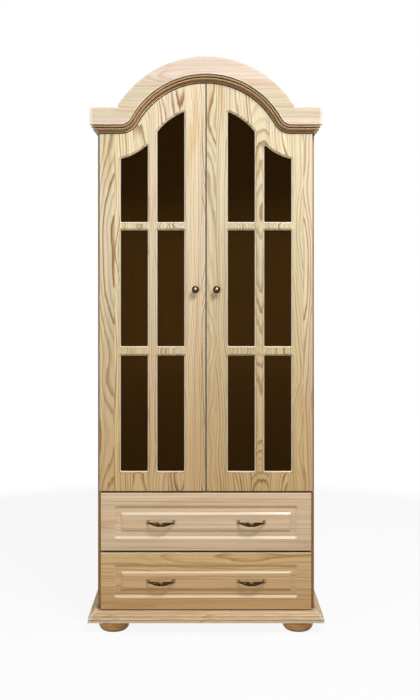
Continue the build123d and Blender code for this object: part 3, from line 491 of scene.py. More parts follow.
class Edges(Effect):
    """Where a board turns over a rounded edge: the mask of the painted highlight that the edge catches."""

    name = "edges"
    numbers = {"Reach": 0.008, "Strength": 1.0}
    missing: Range = (0.10, 0.50)

    def build(self, graph: Graph, given: dict[str, Socket]) -> dict[str, Socket]:
        """Turn the wood missing below a point into a mask of edges.

        Args:
            graph: The group's graph.
            given: How far the wood is searched, and the mask's strength.

        Returns:
            The mask.
        """
        inside = graph.add("ShaderNodeAmbientOcclusion", samples=6, only_local=True, inside=True)
        graph.feed(inside.inputs["Distance"], given["Reach"])
        edge = graph.ease(graph.minus(1.0, inside.outputs["AO"]), *self.missing)
        return {"Mask": graph.times(edge, given["Strength"], clamp=True)}


class Rims(Effect):
    """Rounded and bevelled edges near a board's front face that look sideways or up: the mask of the painted
    highlight that they catch from above.
    """

    name = "rims"
    numbers = {"Facing": 1.0, "Upward": 0.0, "Depth": 0.0, "Sideways": 1.0, "Strength": 0.0}

    turns_away: Range = (0.02, 0.25)
    still_faces: Range = (0.08, 0.35)
    looks_level: Range = (-0.3, -0.05)
    looks_up: Range = (0.05, 0.4)
    lies_deep: Range = (0.0045, 0.0075)

    def build(self, graph: Graph, given: dict[str, Socket]) -> dict[str, Socket]:
        """Mask what turns away from the face, but not what looks down or lies deep.

        Args:
            graph: The group's graph.
            given: Where the surface looks, how deep it lies, and the mask's strengths.

        Returns:
            The mask.
        """
        facing = graph.math("ABSOLUTE", given["Facing"])
        turned = graph.ease(graph.minus(1.0, facing), *self.turns_away)
        sloped = graph.times(turned, graph.ease(facing, *self.still_faces))
        raised = graph.span(graph.ease(given["Upward"], *self.looks_up), given["Sideways"], 1.0)
        lit = graph.times(graph.ease(given["Upward"], *self.looks_level), raised)
        shallow = graph.minus(1.0, graph.ease(given["Depth"], *self.lies_deep))
        mask = graph.times(graph.times(sloped, lit), shallow)
        return {"Mask": graph.times(mask, given["Strength"], clamp=True)}


class HighSpots(Effect):
    """Where an edge stands out, for the rubbed bright spots of a patinated metal."""

    name = "high spots"
    vectors = ("Position",)
    numbers = {"Reach": 0.002}
    outputs = ("Mask", "Grime")

    patch_scale: float = 420.0
    edges: Range = (0.35, 0.85)
    patches: Range = (0.3, 0.6)
    grime: Range = (0.45, 0.7)

    def build(self, graph: Graph, given: dict[str, Socket]) -> dict[str, Socket]:
        """Find convex edges from inside the solid and break them up with noise.

        Args:
            graph: The group's graph.
            given: The position, and how far the solid is searched.

        Returns:
            The masks of the bright spots and of the grime.
        """
        inside = graph.add("ShaderNodeAmbientOcclusion", samples=6, only_local=True, inside=True)
        graph.feed(inside.inputs["Distance"], given["Reach"])
        patch = graph.noise(graph.scaled(given["Position"], self.patch_scale), detail=3.0)
        edge = graph.ease(graph.minus(1.0, inside.outputs["AO"]), *self.edges)
        mask = graph.times(edge, graph.ease(patch, *self.patches))
        return {"Mask": mask, "Grime": graph.ease(patch, *self.grime)}


@dataclass(frozen=True)
class Finish:
    """A named surface finish that makes its own material."""

    name: str

    def start(self) -> tuple[bpy.types.Material, Graph, bpy.types.Node]:
        """Make an empty material.

        Returns:
            The material, its graph and its Principled shader.
        """
        material = bpy.data.materials.new(self.name)
        material.use_nodes = True
        return material, Graph(material.node_tree), material.node_tree.nodes["Principled BSDF"]

    def material(self) -> bpy.types.Material:
        """Return the finish as a material."""
        raise NotImplementedError

    @staticmethod
    def position(graph: Graph) -> Socket:
        """Return the surface's own coordinates, which ride with the piece."""
        return graph.add("ShaderNodeTexCoord").outputs["Object"]


@dataclass(frozen=True)
class Pine(Finish):
    """Glued pine staves under clear lacquer."""

    light: Colour = (0.84, 0.67, 0.48)
    late: Colour = (0.42, 0.24, 0.09)
    resin: Colour = (0.80, 0.60, 0.30)
    # hollow_shade is the colour of the painted shade in grooves, corners and gaps between parts.
    hollow_shade: Colour = (0.16, 0.075, 0.022)
    # amber and amber_range: the colour of the painted shade low down, and the heights over which it fades
    # out.
    amber: Colour = (0.82, 0.65, 0.43)
    amber_range: Range = (0.3, 1.75)
    grain: Grain = Grain.UPRIGHT
    stave_width: float = 0.065
    ring_spacing: float = 0.0068
    flame: float = 0.060
    seed: float = 0.0
    figure: float = 0.85
    tones: float = 0.14
    streaks: Range = (1.42, 0.58)
    resin_share: float = 0.6
    joint_share: float = 0.45
    green_drift: Range = (0.965, 1.0)
    blue_drift: Range = (0.99, 0.90)
    # hollow_shading and hollow_shade_reach: how strong the painted shade is, and how far it looks for cover.
    hollow_shading: float = 0.9
    hollow_shade_reach: float = 0.012
    # edge is the colour of the painted highlight on rounded edges and bevels; the edge and rim settings steer
    # it.
    edge: Colour = (1.0, 0.94, 0.79)
    edge_strength: float = 0.5
    edge_reach: float = 0.008
    edge_clear: float = 0.0
    rim_strength: float = 0.0
    rim_sideways: float = 0.9
    face: float = 0.0
    roughness: float = 0.34
    roughness_drift: Range = (-0.06, 0.10)
    specular: float = 0.3
    coat: float = 0.35
    coat_roughness: float = 0.14
    relief: float = 0.22
    relief_depth: float = 0.0006

    def material(self) -> bpy.types.Material:
        """Lay painted shade in the hollows, a painted highlight on the edges, and lacquer over the boards.

        Returns:
            The lacquered wood.
        """
        material, graph, shader = self.start()
        axes = dict(zip("XYZ", graph.parts(self.position(graph))))
        figure = graph.group(
            PineFigure(),
            position=graph.vector(*(axes[letter] for letter in self.grain.value)),
            stave_width=self.stave_width,
            ring_spacing=self.ring_spacing,
            flame=self.flame,
            seed=self.seed,
        )
        edge_highlight = self.edge_highlight(graph, axes)
        # Painted highlight: edges and bevels that catch the light turn towards the edge colour.
        wood = graph.blend(edge_highlight, self.boards(graph, figure, axes["Z"]), self.edge)
        # Painted shade: grooves, corners and gaps between parts darken towards hollow_shade.
        hollows = graph.group(Hollows(), reach=self.hollow_shade_reach, strength=self.hollow_shading)
        sunk = graph.times(hollows.outputs["Mask"], graph.minus(1.0, graph.times(edge_highlight, self.edge_clear)))
        graph.feed(shader.inputs["Base Color"], graph.blend(sunk, wood, self.hollow_shade))
        low, high = (self.roughness + drift for drift in self.roughness_drift)
        graph.feed(shader.inputs["Roughness"], graph.span(figure.outputs["Streak"], low, high))
        # Painted shade of reflections: the hollows lose their specular and their coat.
        graph.feed(shader.inputs["Specular IOR Level"], graph.span(sunk, self.specular, 0.0))
        graph.feed(shader.inputs["Coat Weight"], graph.span(sunk, self.coat, 0.0))
        shader.inputs["Coat Roughness"].default_value = self.coat_roughness
        graph.bump(shader, figure.outputs["Height"], self.relief, self.relief_depth)
        return material

    def boards(self, graph: Graph, figure: bpy.types.Node, height: Socket) -> Socket:
        """Return the colour of the staves.

        Args:
            graph: The material's graph.
            figure: The wood's figure.
            height: How high the surface stands above the floor, as the wood takes a painted shade, darker and
                more amber, low down.

        Returns:
            The colour's socket.
        """
        marks = figure.outputs
        wood = graph.blend(graph.times(marks["Latewood"], self.figure), self.light, self.late)
        wood = graph.shaded(wood, graph.span(marks["Streak"], *self.streaks))
        wood = graph.blend(graph.times(marks["Resin"], self.resin_share), wood, self.resin, "MULTIPLY")
        wood = graph.shaded(wood, graph.span(marks["Tone"], 1.0 - self.tones, 1.0 + 0.5 * self.tones))
        green = graph.span(marks["Hue"], *self.green_drift)
        blue = graph.span(marks["Hue"], *self.blue_drift)
        wood = graph.blend(1.0, wood, graph.vector(1.0, green, blue), "MULTIPLY")
        # Painted shade: the wood turns darker and more amber lower down, as the light falls off.
        falloff_shade = graph.minus(1.0, graph.ease(height, *self.amber_range))
        wood = graph.blend(falloff_shade, wood, self.amber, "MULTIPLY")
        return graph.blend(graph.times(marks["Joint"], self.joint_share), wood, self.late)

    def edge_highlight(self, graph: Graph, axes: dict[str, Socket]) -> Socket:
        """Return the mask of the painted highlight on edges and bevels.

        Args:
            graph: The material's graph.
            axes: The position's components by their letters.

        Returns:
            The mask's socket.
        """
        inward = self.grain.value[1]
        edges = graph.group(Edges(), reach=self.edge_reach, strength=self.edge_strength)
        looks = dict(zip("XYZ", graph.parts(graph.add("ShaderNodeTexCoord").outputs["Normal"])))
        rims = graph.group(
            Rims(),
            facing=looks[inward],
            upward=looks["Z"],
            depth=graph.minus(axes[inward], self.face),
            sideways=self.rim_sideways,
            strength=self.rim_strength,
        )
        return graph.math("MAXIMUM", edges.outputs["Mask"], rims.outputs["Mask"])


@dataclass(frozen=True)
class Plywood(Finish):
    """Thin rotary-cut birch plywood, as behind the shelves and below the drawers."""

    light: Colour = (0.66, 0.50, 0.33)
    dark: Colour = (0.50, 0.35, 0.20)
    grain: Grain = Grain.UPRIGHT
    bands: float = 9.0
    band_darkens: Range = (0.2, 0.8)
    band_ends: Range = (0.8, 1.0)
    band_share: float = 0.5
    fleck_share: float = 0.4
    roughness: Range = (0.5, 0.66)

    def material(self) -> bpy.types.Material:
        """Draw the wide wandering figure of a peeled sheet.

        Returns:
            The plywood.
        """
        material, graph, shader = self.start()
        axes = dict(zip("XYZ", graph.parts(self.position(graph))))
        place = [axes[letter] for letter in self.grain.value]
        wide = graph.noise(graph.drawn_out(place, fine=7.0, long=0.8), detail=3.0)
        band = graph.math("FRACT", graph.times(wide, self.bands))
        line = graph.times(graph.hump(band, self.band_darkens, self.band_ends), self.band_share)
        fleck = graph.noise(graph.drawn_out(place, fine=700.0, long=60.0), detail=1.0)
        mixed = graph.plus(line, graph.times(fleck, self.fleck_share), clamp=True)
        graph.feed(shader.inputs["Base Color"], graph.blend(mixed, self.light, self.dark))
        graph.feed(shader.inputs["Roughness"], graph.span(fleck, *self.roughness))
        graph.bump(shader, fleck, strength=0.2, depth=0.0003)
        return material


@dataclass(frozen=True)
class SmokedGlass(Finish):
    """Brown tinted window glass, with the faint film that wiping leaves."""

    tint: Colour = (0.20, 0.10, 0.03)
    sheen: Colour = (1.0, 0.52, 0.12)
    film_scale: float = 6.0
    film_roughness: float = 0.05

    def material(self) -> bpy.types.Material:
        """Tint the glass and smear the film on it.

        Returns:
            The tinted glass.
        """
        material, graph, shader = self.start()
        film = graph.noise(graph.scaled(self.position(graph), self.film_scale), detail=4.0)
        shader.inputs["Base Color"].default_value = (*self.tint, 1.0)
        shader.inputs["Transmission Weight"].default_value = 1.0
        shader.inputs["IOR"].default_value = 1.45
        shader.inputs["Specular IOR Level"].default_value = 0.13
        shader.inputs["Specular Tint"].default_value = (*self.sheen, 1.0)
        graph.feed(shader.inputs["Roughness"], graph.span(film, 0.0, self.film_roughness))
        return material


@dataclass(frozen=True)
class AgedBronze(Finish):
    """Dark patinated bronze, rubbed bright on its edges."""

    dark: Colour
    bright: Colour
    edge_reach: float = 0.0022
    grime_share: float = 0.14
    roughness: Range = (0.22, 0.38)

    def material(self) -> bpy.types.Material:
        """Patinate the metal, rub its edges bare and paint a highlight on its marked places.

        Returns:
            The patinated metal.
        """
        material, graph, shader = self.start()
        spots = graph.group(HighSpots(), reach=self.edge_reach, position=self.position(graph))
        grime = spots.outputs["Grime"]
        base = graph.blend(graph.times(grime, self.grime_share), self.dark, self.bright)
        # Painted highlight on the marked places, together with the wear on the edges.
        painted_highlight = graph.add("ShaderNodeAttribute", attribute_name=PAINTED_HIGHLIGHT).outputs["Fac"]
        wear_and_highlight = graph.math("MAXIMUM", spots.outputs["Mask"], painted_highlight)
        graph.feed(shader.inputs["Base Color"], graph.blend(wear_and_highlight, base, self.bright))
        graph.feed(shader.inputs["Roughness"], graph.span(grime, *self.roughness))
        shader.inputs["Metallic"].default_value = 0.9
        return material


@dataclass(frozen=True)
class PlatedSteel(Finish):
    """Plated pressed steel with fine rolling marks."""

    colour: Colour = (0.62, 0.60, 0.57)
    shade: Colour = (0.40, 0.38, 0.35)
    roughness: float = 0.28
    roughness_drift: Range = (-0.08, 0.12)
    mark_scale: Point = (2200.0, 160.0, 900.0)
    marks: Range = (0.35, 0.75)

    def material(self) -> bpy.types.Material:
        """Draw the rolling marks and paint shade into the hollows.

        Returns:
            The plated metal.
        """
        material, graph, shader = self.start()
        place = zip(graph.parts(self.position(graph)), self.mark_scale)
        marks = graph.noise(graph.vector(*(graph.times(part, scale) for part, scale in place)), detail=2.0)
        # Painted shade: grooves and corners darken towards the shade colour.
        hollows = graph.group(Hollows(), reach=0.003, strength=0.7)
        base = graph.blend(graph.ease(marks, *self.marks), self.colour, self.shade)
        graph.feed(shader.inputs["Base Color"], graph.blend(hollows.outputs["Mask"], base, self.shade))
        low, high = (self.roughness + drift for drift in self.roughness_drift)
        graph.feed(shader.inputs["Roughness"], graph.span(marks, low, high))
        shader.inputs["Metallic"].default_value = 1.0
        return material


@dataclass(frozen=True)
class Felt(Finish):
    """Pressed wool felt."""

    colour: Colour = (0.30, 0.26, 0.21)
    pale_gain: float = 1.5
    fuzz_scale: float = 2400.0

    def material(self) -> bpy.types.Material:
        """Press the fibres.

        Returns:
            The felt.
        """
        material, graph, shader = self.start()
        fuzz = graph.noise(graph.scaled(self.position(graph), self.fuzz_scale), detail=3.0, roughness=0.7)
        pale = tuple(self.pale_gain * part for part in self.colour)
        graph.feed(shader.inputs["Base Color"], graph.blend(fuzz, self.colour, pale))
        shader.inputs["Roughness"].default_value = 0.95
        shader.inputs["Sheen Weight"].default_value = 0.4
        graph.bump(shader, fuzz, strength=0.8, depth=0.0004)
        return material


@dataclass(frozen=True)
class Backdrop(Finish):
    """The white ground. The camera and mirrors see white, and the object's shadow stays faintly on it."""

    bounce: float = 0.36
    mottle: float = 1.04
    shown: float = 0.90
    mirrored: float = 0.56
    mirror_range: Range = (2.0, 14.0)
    fade_range: Range = (0.9, 2.6)

    def material(self) -> bpy.types.Material:
        """Mix a white glow with a plain surface that takes the shadow.

        Returns:
            The ground's material.
        """
        material, graph, shader = self.start()
        shader.inputs["Roughness"].default_value = 0.9
        shader.inputs["Specular IOR Level"].default_value = 0.0
        place = self.position(graph)
        path = graph.add("ShaderNodeLightPath").outputs
        seen = graph.math("MAXIMUM", path["Is Camera Ray"], path["Is Glossy Ray"])
        seen = graph.math("MAXIMUM", seen, path["Is Transmission Ray"])
        pale = (self.bounce, self.bounce, self.bounce)
        paler = tuple(self.mottle * part for part in pale)
        floor = graph.blend(graph.noise(place, detail=2.0), pale, paler)
        graph.feed(shader.inputs["Base Color"], graph.blend(seen, floor, WHITE))
        length = graph.add("ShaderNodeVectorMath", operation="LENGTH")
        graph.feed(length.inputs[0], place)
        away = length.outputs["Value"]
        level = graph.span(graph.ease(away, *self.mirror_range), self.mirrored, 1.0)
        white = graph.add("ShaderNodeEmission")
        graph.feed(white.inputs["Strength"], graph.span(path["Is Glossy Ray"], 1.0, level))
        shown = graph.math("MAXIMUM", graph.ease(away, *self.fade_range), self.shown)
        mixer = graph.add("ShaderNodeMixShader")
        graph.feed(mixer.inputs[0], graph.times(seen, shown))
        graph.feed(mixer.inputs[1], shader.outputs[0])
        graph.feed(mixer.inputs[2], white.outputs[0])
        graph.feed(material.node_tree.nodes["Material Output"].inputs["Surface"], mixer.outputs[0])
        return material


def mesh_object(name: str, shape: bmesh.types.BMesh, smooth: bool = True) -> bpy.types.Object:
    """Turn a bmesh into an object in the scene.

    Args:
        name: The object's name.
        shape: The mesh, which is freed.
        smooth: Whether the faces are smooth-shaded.

    Returns:
        The new object.
    """
    bmesh.ops.recalc_face_normals(shape, faces=shape.faces[:])
    for face in shape.faces:
        face.smooth = smooth
    mesh = bpy.data.meshes.new(name)
    shape.to_mesh(mesh)
    shape.free()
    return in_scene(bpy.data.objects.new(name, mesh))


def in_scene(thing: bpy.types.Object) -> bpy.types.Object:
    """Put an object, a lamp or a camera into the scene and return it."""
    bpy.context.scene.collection.objects.link(thing)
    return thing


def around(count: int) -> list[float]:
    """Return the angles of evenly spaced points around a ring."""
    return [2 * math.pi * i / count for i in range(count)]


def skin(
    shape: bmesh.types.BMesh, rings: Sequence[Sequence[Vector]], foot: bool = True, tip: bool = True
) -> None:
    """Join rings of points into a tube.

    Args:
        shape: The mesh that gets the tube.
        rings: Rings with the same number of points, in order.
        foot: Whether the first ring is capped.
        tip: Whether the last ring is capped.
    """
    made = [[shape.verts.new(point) for point in ring] for ring in rings]
    count = len(made[0])
    for near, far in zip(made, made[1:]):
        for i in range(count):
            j = (i + 1) % count
            shape.faces.new((near[i], near[j], far[j], far[i]))
    if foot:
        shape.faces.new(made[0])
    if tip:
        shape.faces.new(made[-1])


def turned_rings(profile: Iterable[tuple[float, float]], frame: Matrix, segments: int) -> list[list[Vector]]:
    """Return the rings of a turned piece.

    Args:
        profile: Radius and height pairs, from the foot to the tip.
        frame: Puts the turning axis, local +Z, in place.
        segments: Points in each ring.

    Returns:
        One ring of points for each pair.
    """
    turns = around(segments)
    return [[frame @ Vector((r * math.cos(a), r * math.sin(a), h)) for a in turns] for r, h in profile]


def paint_highlight(piece: bpy.types.Object, spots: Sequence[Vector], inner: float, outer: float) -> None:
    """Mark where a metal piece gets a painted highlight.

    Args:
        piece: The piece.
        spots: The middles of the painted highlights.
        inner: How far from a middle the metal is all bright.
        outer: How far from a middle the patina is whole again.
    """
    marks = piece.data.attributes.new(PAINTED_HIGHLIGHT, "FLOAT", "POINT")
    for mark, vertex in zip(marks.data, piece.data.vertices):
        nearest = min((vertex.co - spot).length for spot in spots)
        mark.value = min(1.0, max(0.0, (outer - nearest) / (outer - inner)))


def soften(piece: bpy.types.Object, name: str) -> None:
    """Round a cast or turned piece with one level of subdivision, under the modifier's name."""
    smoother = piece.modifiers.new(name, "SUBSURF")
    smoother.levels = smoother.render_levels = 1


def looking(x: float, y: float, z: float, degrees: float, axis: str = "X") -> Matrix:
    """Return a frame at a point, with its local +Z turned about an axis: 90 about X looks to the front."""
    return Matrix.Translation((x, y, z)) @ Matrix.Rotation(math.radians(degrees), 4, axis)


@dataclass
class BowHandle:
    """A cast bow handle: two oval bosses, thin necks, two ribbed leaves and a collar."""

    name: str
    x: float
    z: float
    face_y: float
    spacing: float = 0.096
    reach: float = 0.0215
    droop: float = math.radians(10)
    segments: int = 20
    rib_depth: float = 0.07
    rib_height: float = 0.0030
    rib_fade: float = 0.0015
    boss_half_width: float = 0.0056
    boss_half_height: float = 0.0080
    boss_segments: int = 28
    boss_centre: float = 0.02
    # The painted highlight on each boss: all bright within the first radius, none beyond the second.
    painted_highlight: Range = (0.0022, 0.0050)
    # One half of the bow: a share of its length, half its thickness, half its height and its lift.
    stations: tuple[tuple[float, float, float, float], ...] = (
        (0.000, 0.0034, 0.0040, 0.0),
        (0.030, 0.0029, 0.0033, 0.0),
        (0.065, 0.0023, 0.0025, 0.0),
        (0.100, 0.0021, 0.0023, 0.0),
        (0.122, 0.0031, 0.0035, 0.0),
        (0.140, 0.0022, 0.0025, 0.0),
        (0.180, 0.0024, 0.0031, 0.0001),
        (0.240, 0.0029, 0.0045, 0.0002),
        (0.310, 0.0034, 0.0062, 0.0004),
        (0.370, 0.0036, 0.0076, 0.0004),
        (0.415, 0.0035, 0.0084, 0.0000),
        (0.445, 0.0033, 0.0080, -0.0008),
        (0.468, 0.0031, 0.0062, -0.0022),
        (0.485, 0.0031, 0.0048, -0.0032),
        (0.500, 0.0032, 0.0044, -0.0035),
    )
    # A boss from its foot to its crest: its share of the full width and how far it rises.
    boss_profile: tuple[tuple[float, float], ...] = (
        (0.0, 0.0),
        (1.0, 0.0),
        (1.0, 0.0008),
        (0.94, 0.0016),
        (0.80, 0.0019),
        (0.72, 0.0016),
        (0.64, 0.0022),
        (0.52, 0.0032),
        (0.30, 0.0040),
        (0.0, 0.0043),
    )

    def along(self, share: float) -> tuple[Vector, Vector, Vector]:
        """Follow the bow.

        Args:
            share: A share of its length.

        Returns:
            The bow's centre there, its outward direction and its upward direction.
        """
        turn = math.pi * share
        out = Vector((0.0, -math.cos(self.droop), -math.sin(self.droop)))
        half = self.spacing / 2
        foot = Vector((self.x - half * math.cos(turn), self.face_y, self.z))
        centre = foot + out * self.reach * math.sin(turn)
        ahead = (Vector((half * math.sin(turn), 0, 0)) + out * self.reach * math.cos(turn)).normalized()
        upward = Vector((0.0, -math.sin(self.droop), math.cos(self.droop)))
        return centre, upward.cross(ahead).normalized(), upward

    def section(self, share: float, thick: float, tall: float, lift: float) -> list[Vector]:
        """Make one ring of the bow, with a shallow rib along each leaf.

        Args:
            share: The ring's share of the bow's length.
            thick: Half its thickness.
            tall: Half its height.
            lift: How far it lies above the bow's line.

        Returns:
            The ring's points.
        """
        centre, outward, upward = self.along(share)
        centre = centre + upward * lift
        rib = self.rib_depth * min(1.0, max(0.0, (tall - self.rib_height) / self.rib_fade))
        ring = []
        for turn in around(self.segments):
            ribbed = 1.0 + rib * math.cos(4 * turn)
            point = centre + outward * thick * ribbed * math.cos(turn)
            ring.append(point + upward * tall * ribbed * math.sin(turn))
        return ring

    def build(self) -> bpy.types.Object:
        """Cast the bow and its two bosses as one mesh.

        Returns:
            The handle.
        """
        shape = bmesh.new()
        mirrored = [(1.0 - share, *size) for share, *size in reversed(self.stations[:-1])]
        skin(shape, [self.section(*station) for station in (*self.stations, *mirrored)])
        feet = [self.x + side * self.spacing / 2 for side in (-1, 1)]
        for x in feet:
            skin(shape, [self.boss_ring(x, share, rise) for share, rise in self.boss_profile])
        piece = mesh_object(self.name, shape)
        crest = self.face_y - self.boss_profile[-1][1]
        # Paint a highlight on the middle of each boss.
        paint_highlight(piece, [Vector((x, crest, self.z)) for x in feet], *self.painted_highlight)
        soften(piece, "cast")
        return piece

    def boss_ring(self, x: float, share: float, rise: float) -> list[Vector]:
        """Make one ring of an oval boss.

        Args:
            x: The boss's middle.
            share: The ring's share of the boss's full width.
            rise: How far it stands off the drawer's face.

        Returns:
            The ring's points.
        """
        share = max(share, self.boss_centre)
        y = self.face_y - rise
        wide, tall = self.boss_half_width * share, self.boss_half_height * share
        turns = around(self.boss_segments)
        return [Vector((x + wide * math.cos(turn), y, self.z + tall * math.sin(turn))) for turn in turns]


@dataclass
class TurnedKnob:
    """A turned bronze door knob on a small rose."""

    name: str
    x: float
    z: float
    face_y: float
    segments: int = 40
    # The painted highlight sits a little above the dome's middle, where the lamp's glint falls.
    highlight_rise: float = 0.0040
    painted_highlight: Range = (0.0015, 0.0072)
    # Radius and height pairs: the rose, the neck, and the head with its bead and dome.
    profile: tuple[tuple[float, float], ...] = (
        (0.0020, 0.0),
        (0.0098, 0.0),
        (0.0100, 0.0008),
        (0.0096, 0.0015),
        (0.0080, 0.0022),
        (0.0074, 0.0020),
        (0.0066, 0.0030),
        (0.0052, 0.0052),
        (0.0046, 0.0078),
        (0.0050, 0.0098),
        (0.0064, 0.0122),
        (0.0086, 0.0136),
        (0.0116, 0.0143),
        (0.0134, 0.0154),
        (0.0140, 0.0168),
        (0.0134, 0.0183),
        (0.0122, 0.0191),
        (0.0110, 0.0191),
        (0.0106, 0.0200),
        (0.0096, 0.0222),
        (0.0080, 0.0247),
        (0.0057, 0.0266),
        (0.0030, 0.0277),
        (0.0004, 0.0280),
    )

    def build(self) -> bpy.types.Object:
        """Turn the knob.

        Returns:
            The knob.
        """
        shape = bmesh.new()
        skin(shape, turned_rings(self.profile, looking(self.x, self.face_y, self.z, 90), self.segments))
        piece = mesh_object(self.name, shape)
        crest = Vector((self.x, self.face_y - self.profile[-1][1], self.z + self.highlight_rise))
        # Paint a highlight near the crest of the dome.
        paint_highlight(piece, [crest], *self.painted_highlight)
        soften(piece, "polish")
        return piece


@dataclass
class CrossHeadScrews:
    """A set of pan-head screws with a cross recess, each on its own frame."""

    name: str
    frames: list[Matrix]
    head_radius: float = 0.0039
    head_height: float = 0.0021
    rim_share: float = 0.62
    roundness: float = 2.4
    recess_depth: float = 0.0012
    recess_climb: float = 0.55
    blade: float = 0.00055
    blade_slope: float = 0.00018
    reach: float = 0.0023
    segments: int = 24
    steps: int = 12

    def dome(self, x: float, y: float) -> float:
        """Follow the head's top, with the recess cut into it.

        Args:
            x: The distance from the screw's axis along the first slot.
            y: The distance along the second slot.

        Returns:
            The head's height there.
        """
        share = min(1.0, math.hypot(x, y) / self.head_radius)
        round_share = (1.0 - self.rim_share) * math.sqrt(max(0.0, 1.0 - share**self.roundness))
        top = self.head_height * (self.rim_share + round_share)
        for along, aside in ((abs(x), abs(y)), (abs(y), abs(x))):
            sunk = 1.0 - max(0.0, aside - self.blade) / self.blade_slope
            if along < self.reach and sunk > 0:
                depth = self.recess_depth * sunk * (1.0 - self.recess_climb * along / self.reach)
                top = min(top, self.head_height - depth)
        return top

    def build(self) -> bpy.types.Object:
        """Make every head as a round grid that follows the dome.

        Returns:
            All the heads as one piece.
        """
        shape = bmesh.new()
        rim = self.rim_share * self.head_height
        for frame in self.frames:
            wall = ((self.head_radius, 0.0), (self.head_radius, rim))
            skin(shape, turned_rings(wall, frame, self.segments), foot=False, tip=False)
            rings = [self.cap_ring(frame, step, rim) for step in range(self.steps, 0, -1)]
            skin(shape, rings, foot=False)
        piece = mesh_object(self.name, shape)
        weld(piece)
        return piece

    def cap_ring(self, frame: Matrix, step: int, rim: float) -> list[Vector]:
        """Make one ring of a head's top.

        Args:
            frame: The screw's frame.
            step: The ring's number, counted from the middle.
            rim: The height of the outer ring.

        Returns:
            The ring's points.
        """
        radius = self.head_radius * step / self.steps
        spots = [(radius * math.cos(turn), radius * math.sin(turn)) for turn in around(self.segments)]
        return [frame @ Vector((x, y, self.dome(x, y) if step < self.steps else rim)) for x, y in spots]


def weld(piece: bpy.types.Object, nearness: float = 1e-6) -> None:
    """Weld the points of a piece that lie on each other.

    Args:
        piece: The piece.
        nearness: How near such points are.
    """
    shape = bmesh.new()
    shape.from_mesh(piece.data)
    bmesh.ops.remove_doubles(shape, verts=shape.verts[:], dist=nearness)
    bmesh.ops.recalc_face_normals(shape, faces=shape.faces[:])
    shape.to_mesh(piece.data)
    shape.free()


@dataclass
class Workshop:
    """The loaded frame and the finishes, with the ways a piece is dressed."""

    nodes: dict[str, bpy.types.Object]
    made: dict[str, bpy.types.Material] = field(default_factory=dict)

    def finish(self, finish: Finish) -> bpy.types.Material:
        """Make a finish's material the first time that it is asked for.

        Args:
            finish: The finish.

        Returns:
            Its material.
        """
        if finish.name not in self.made:
            self.made[finish.name] = finish.material()
        return self.made[finish.name]

    def dress(self, finish: Finish, *names: str) -> None:
        """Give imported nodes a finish.

        Args:
            finish: The finish.
            names: The nodes' names.
        """
        material = self.finish(finish)
        for name in names:
            node = self.nodes[name]
            if not node.material_slots:
                node.data.materials.append(material)
            for slot in node.material_slots:
                slot.material = material
            LOG.info("%s: %s", name, finish.name)

    def place(self, piece: bpy.types.Object, body: str, finish: Finish, slot: str, *replaced: str) -> None:
        """Give a new piece its finish and its body.

        Args:
            piece: The piece, already in place.
            body: The body that it moves with.
            finish: Its finish.
            slot: The record's slot for its finish; not used.
            replaced: The nodes that it stands for.
        """
        piece.data.materials.append(self.finish(finish))
        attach(piece, body)
        if replaced:
            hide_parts(*replaced)
        LOG.info("%s rides on %s", piece.name, body)


BARE_STEEL = PlatedSteel("zinc plated steel", (0.66, 0.63, 0.55), (0.42, 0.40, 0.34), 0.32)
NICKEL = PlatedSteel("nickel plated steel")
BRONZE = AgedBronze("antique bronze", (0.060, 0.032, 0.015), (0.80, 0.62, 0.40))
DARK_BRONZE = AgedBronze("dark bronze", (0.060, 0.029, 0.010), (0.74, 0.50, 0.27))


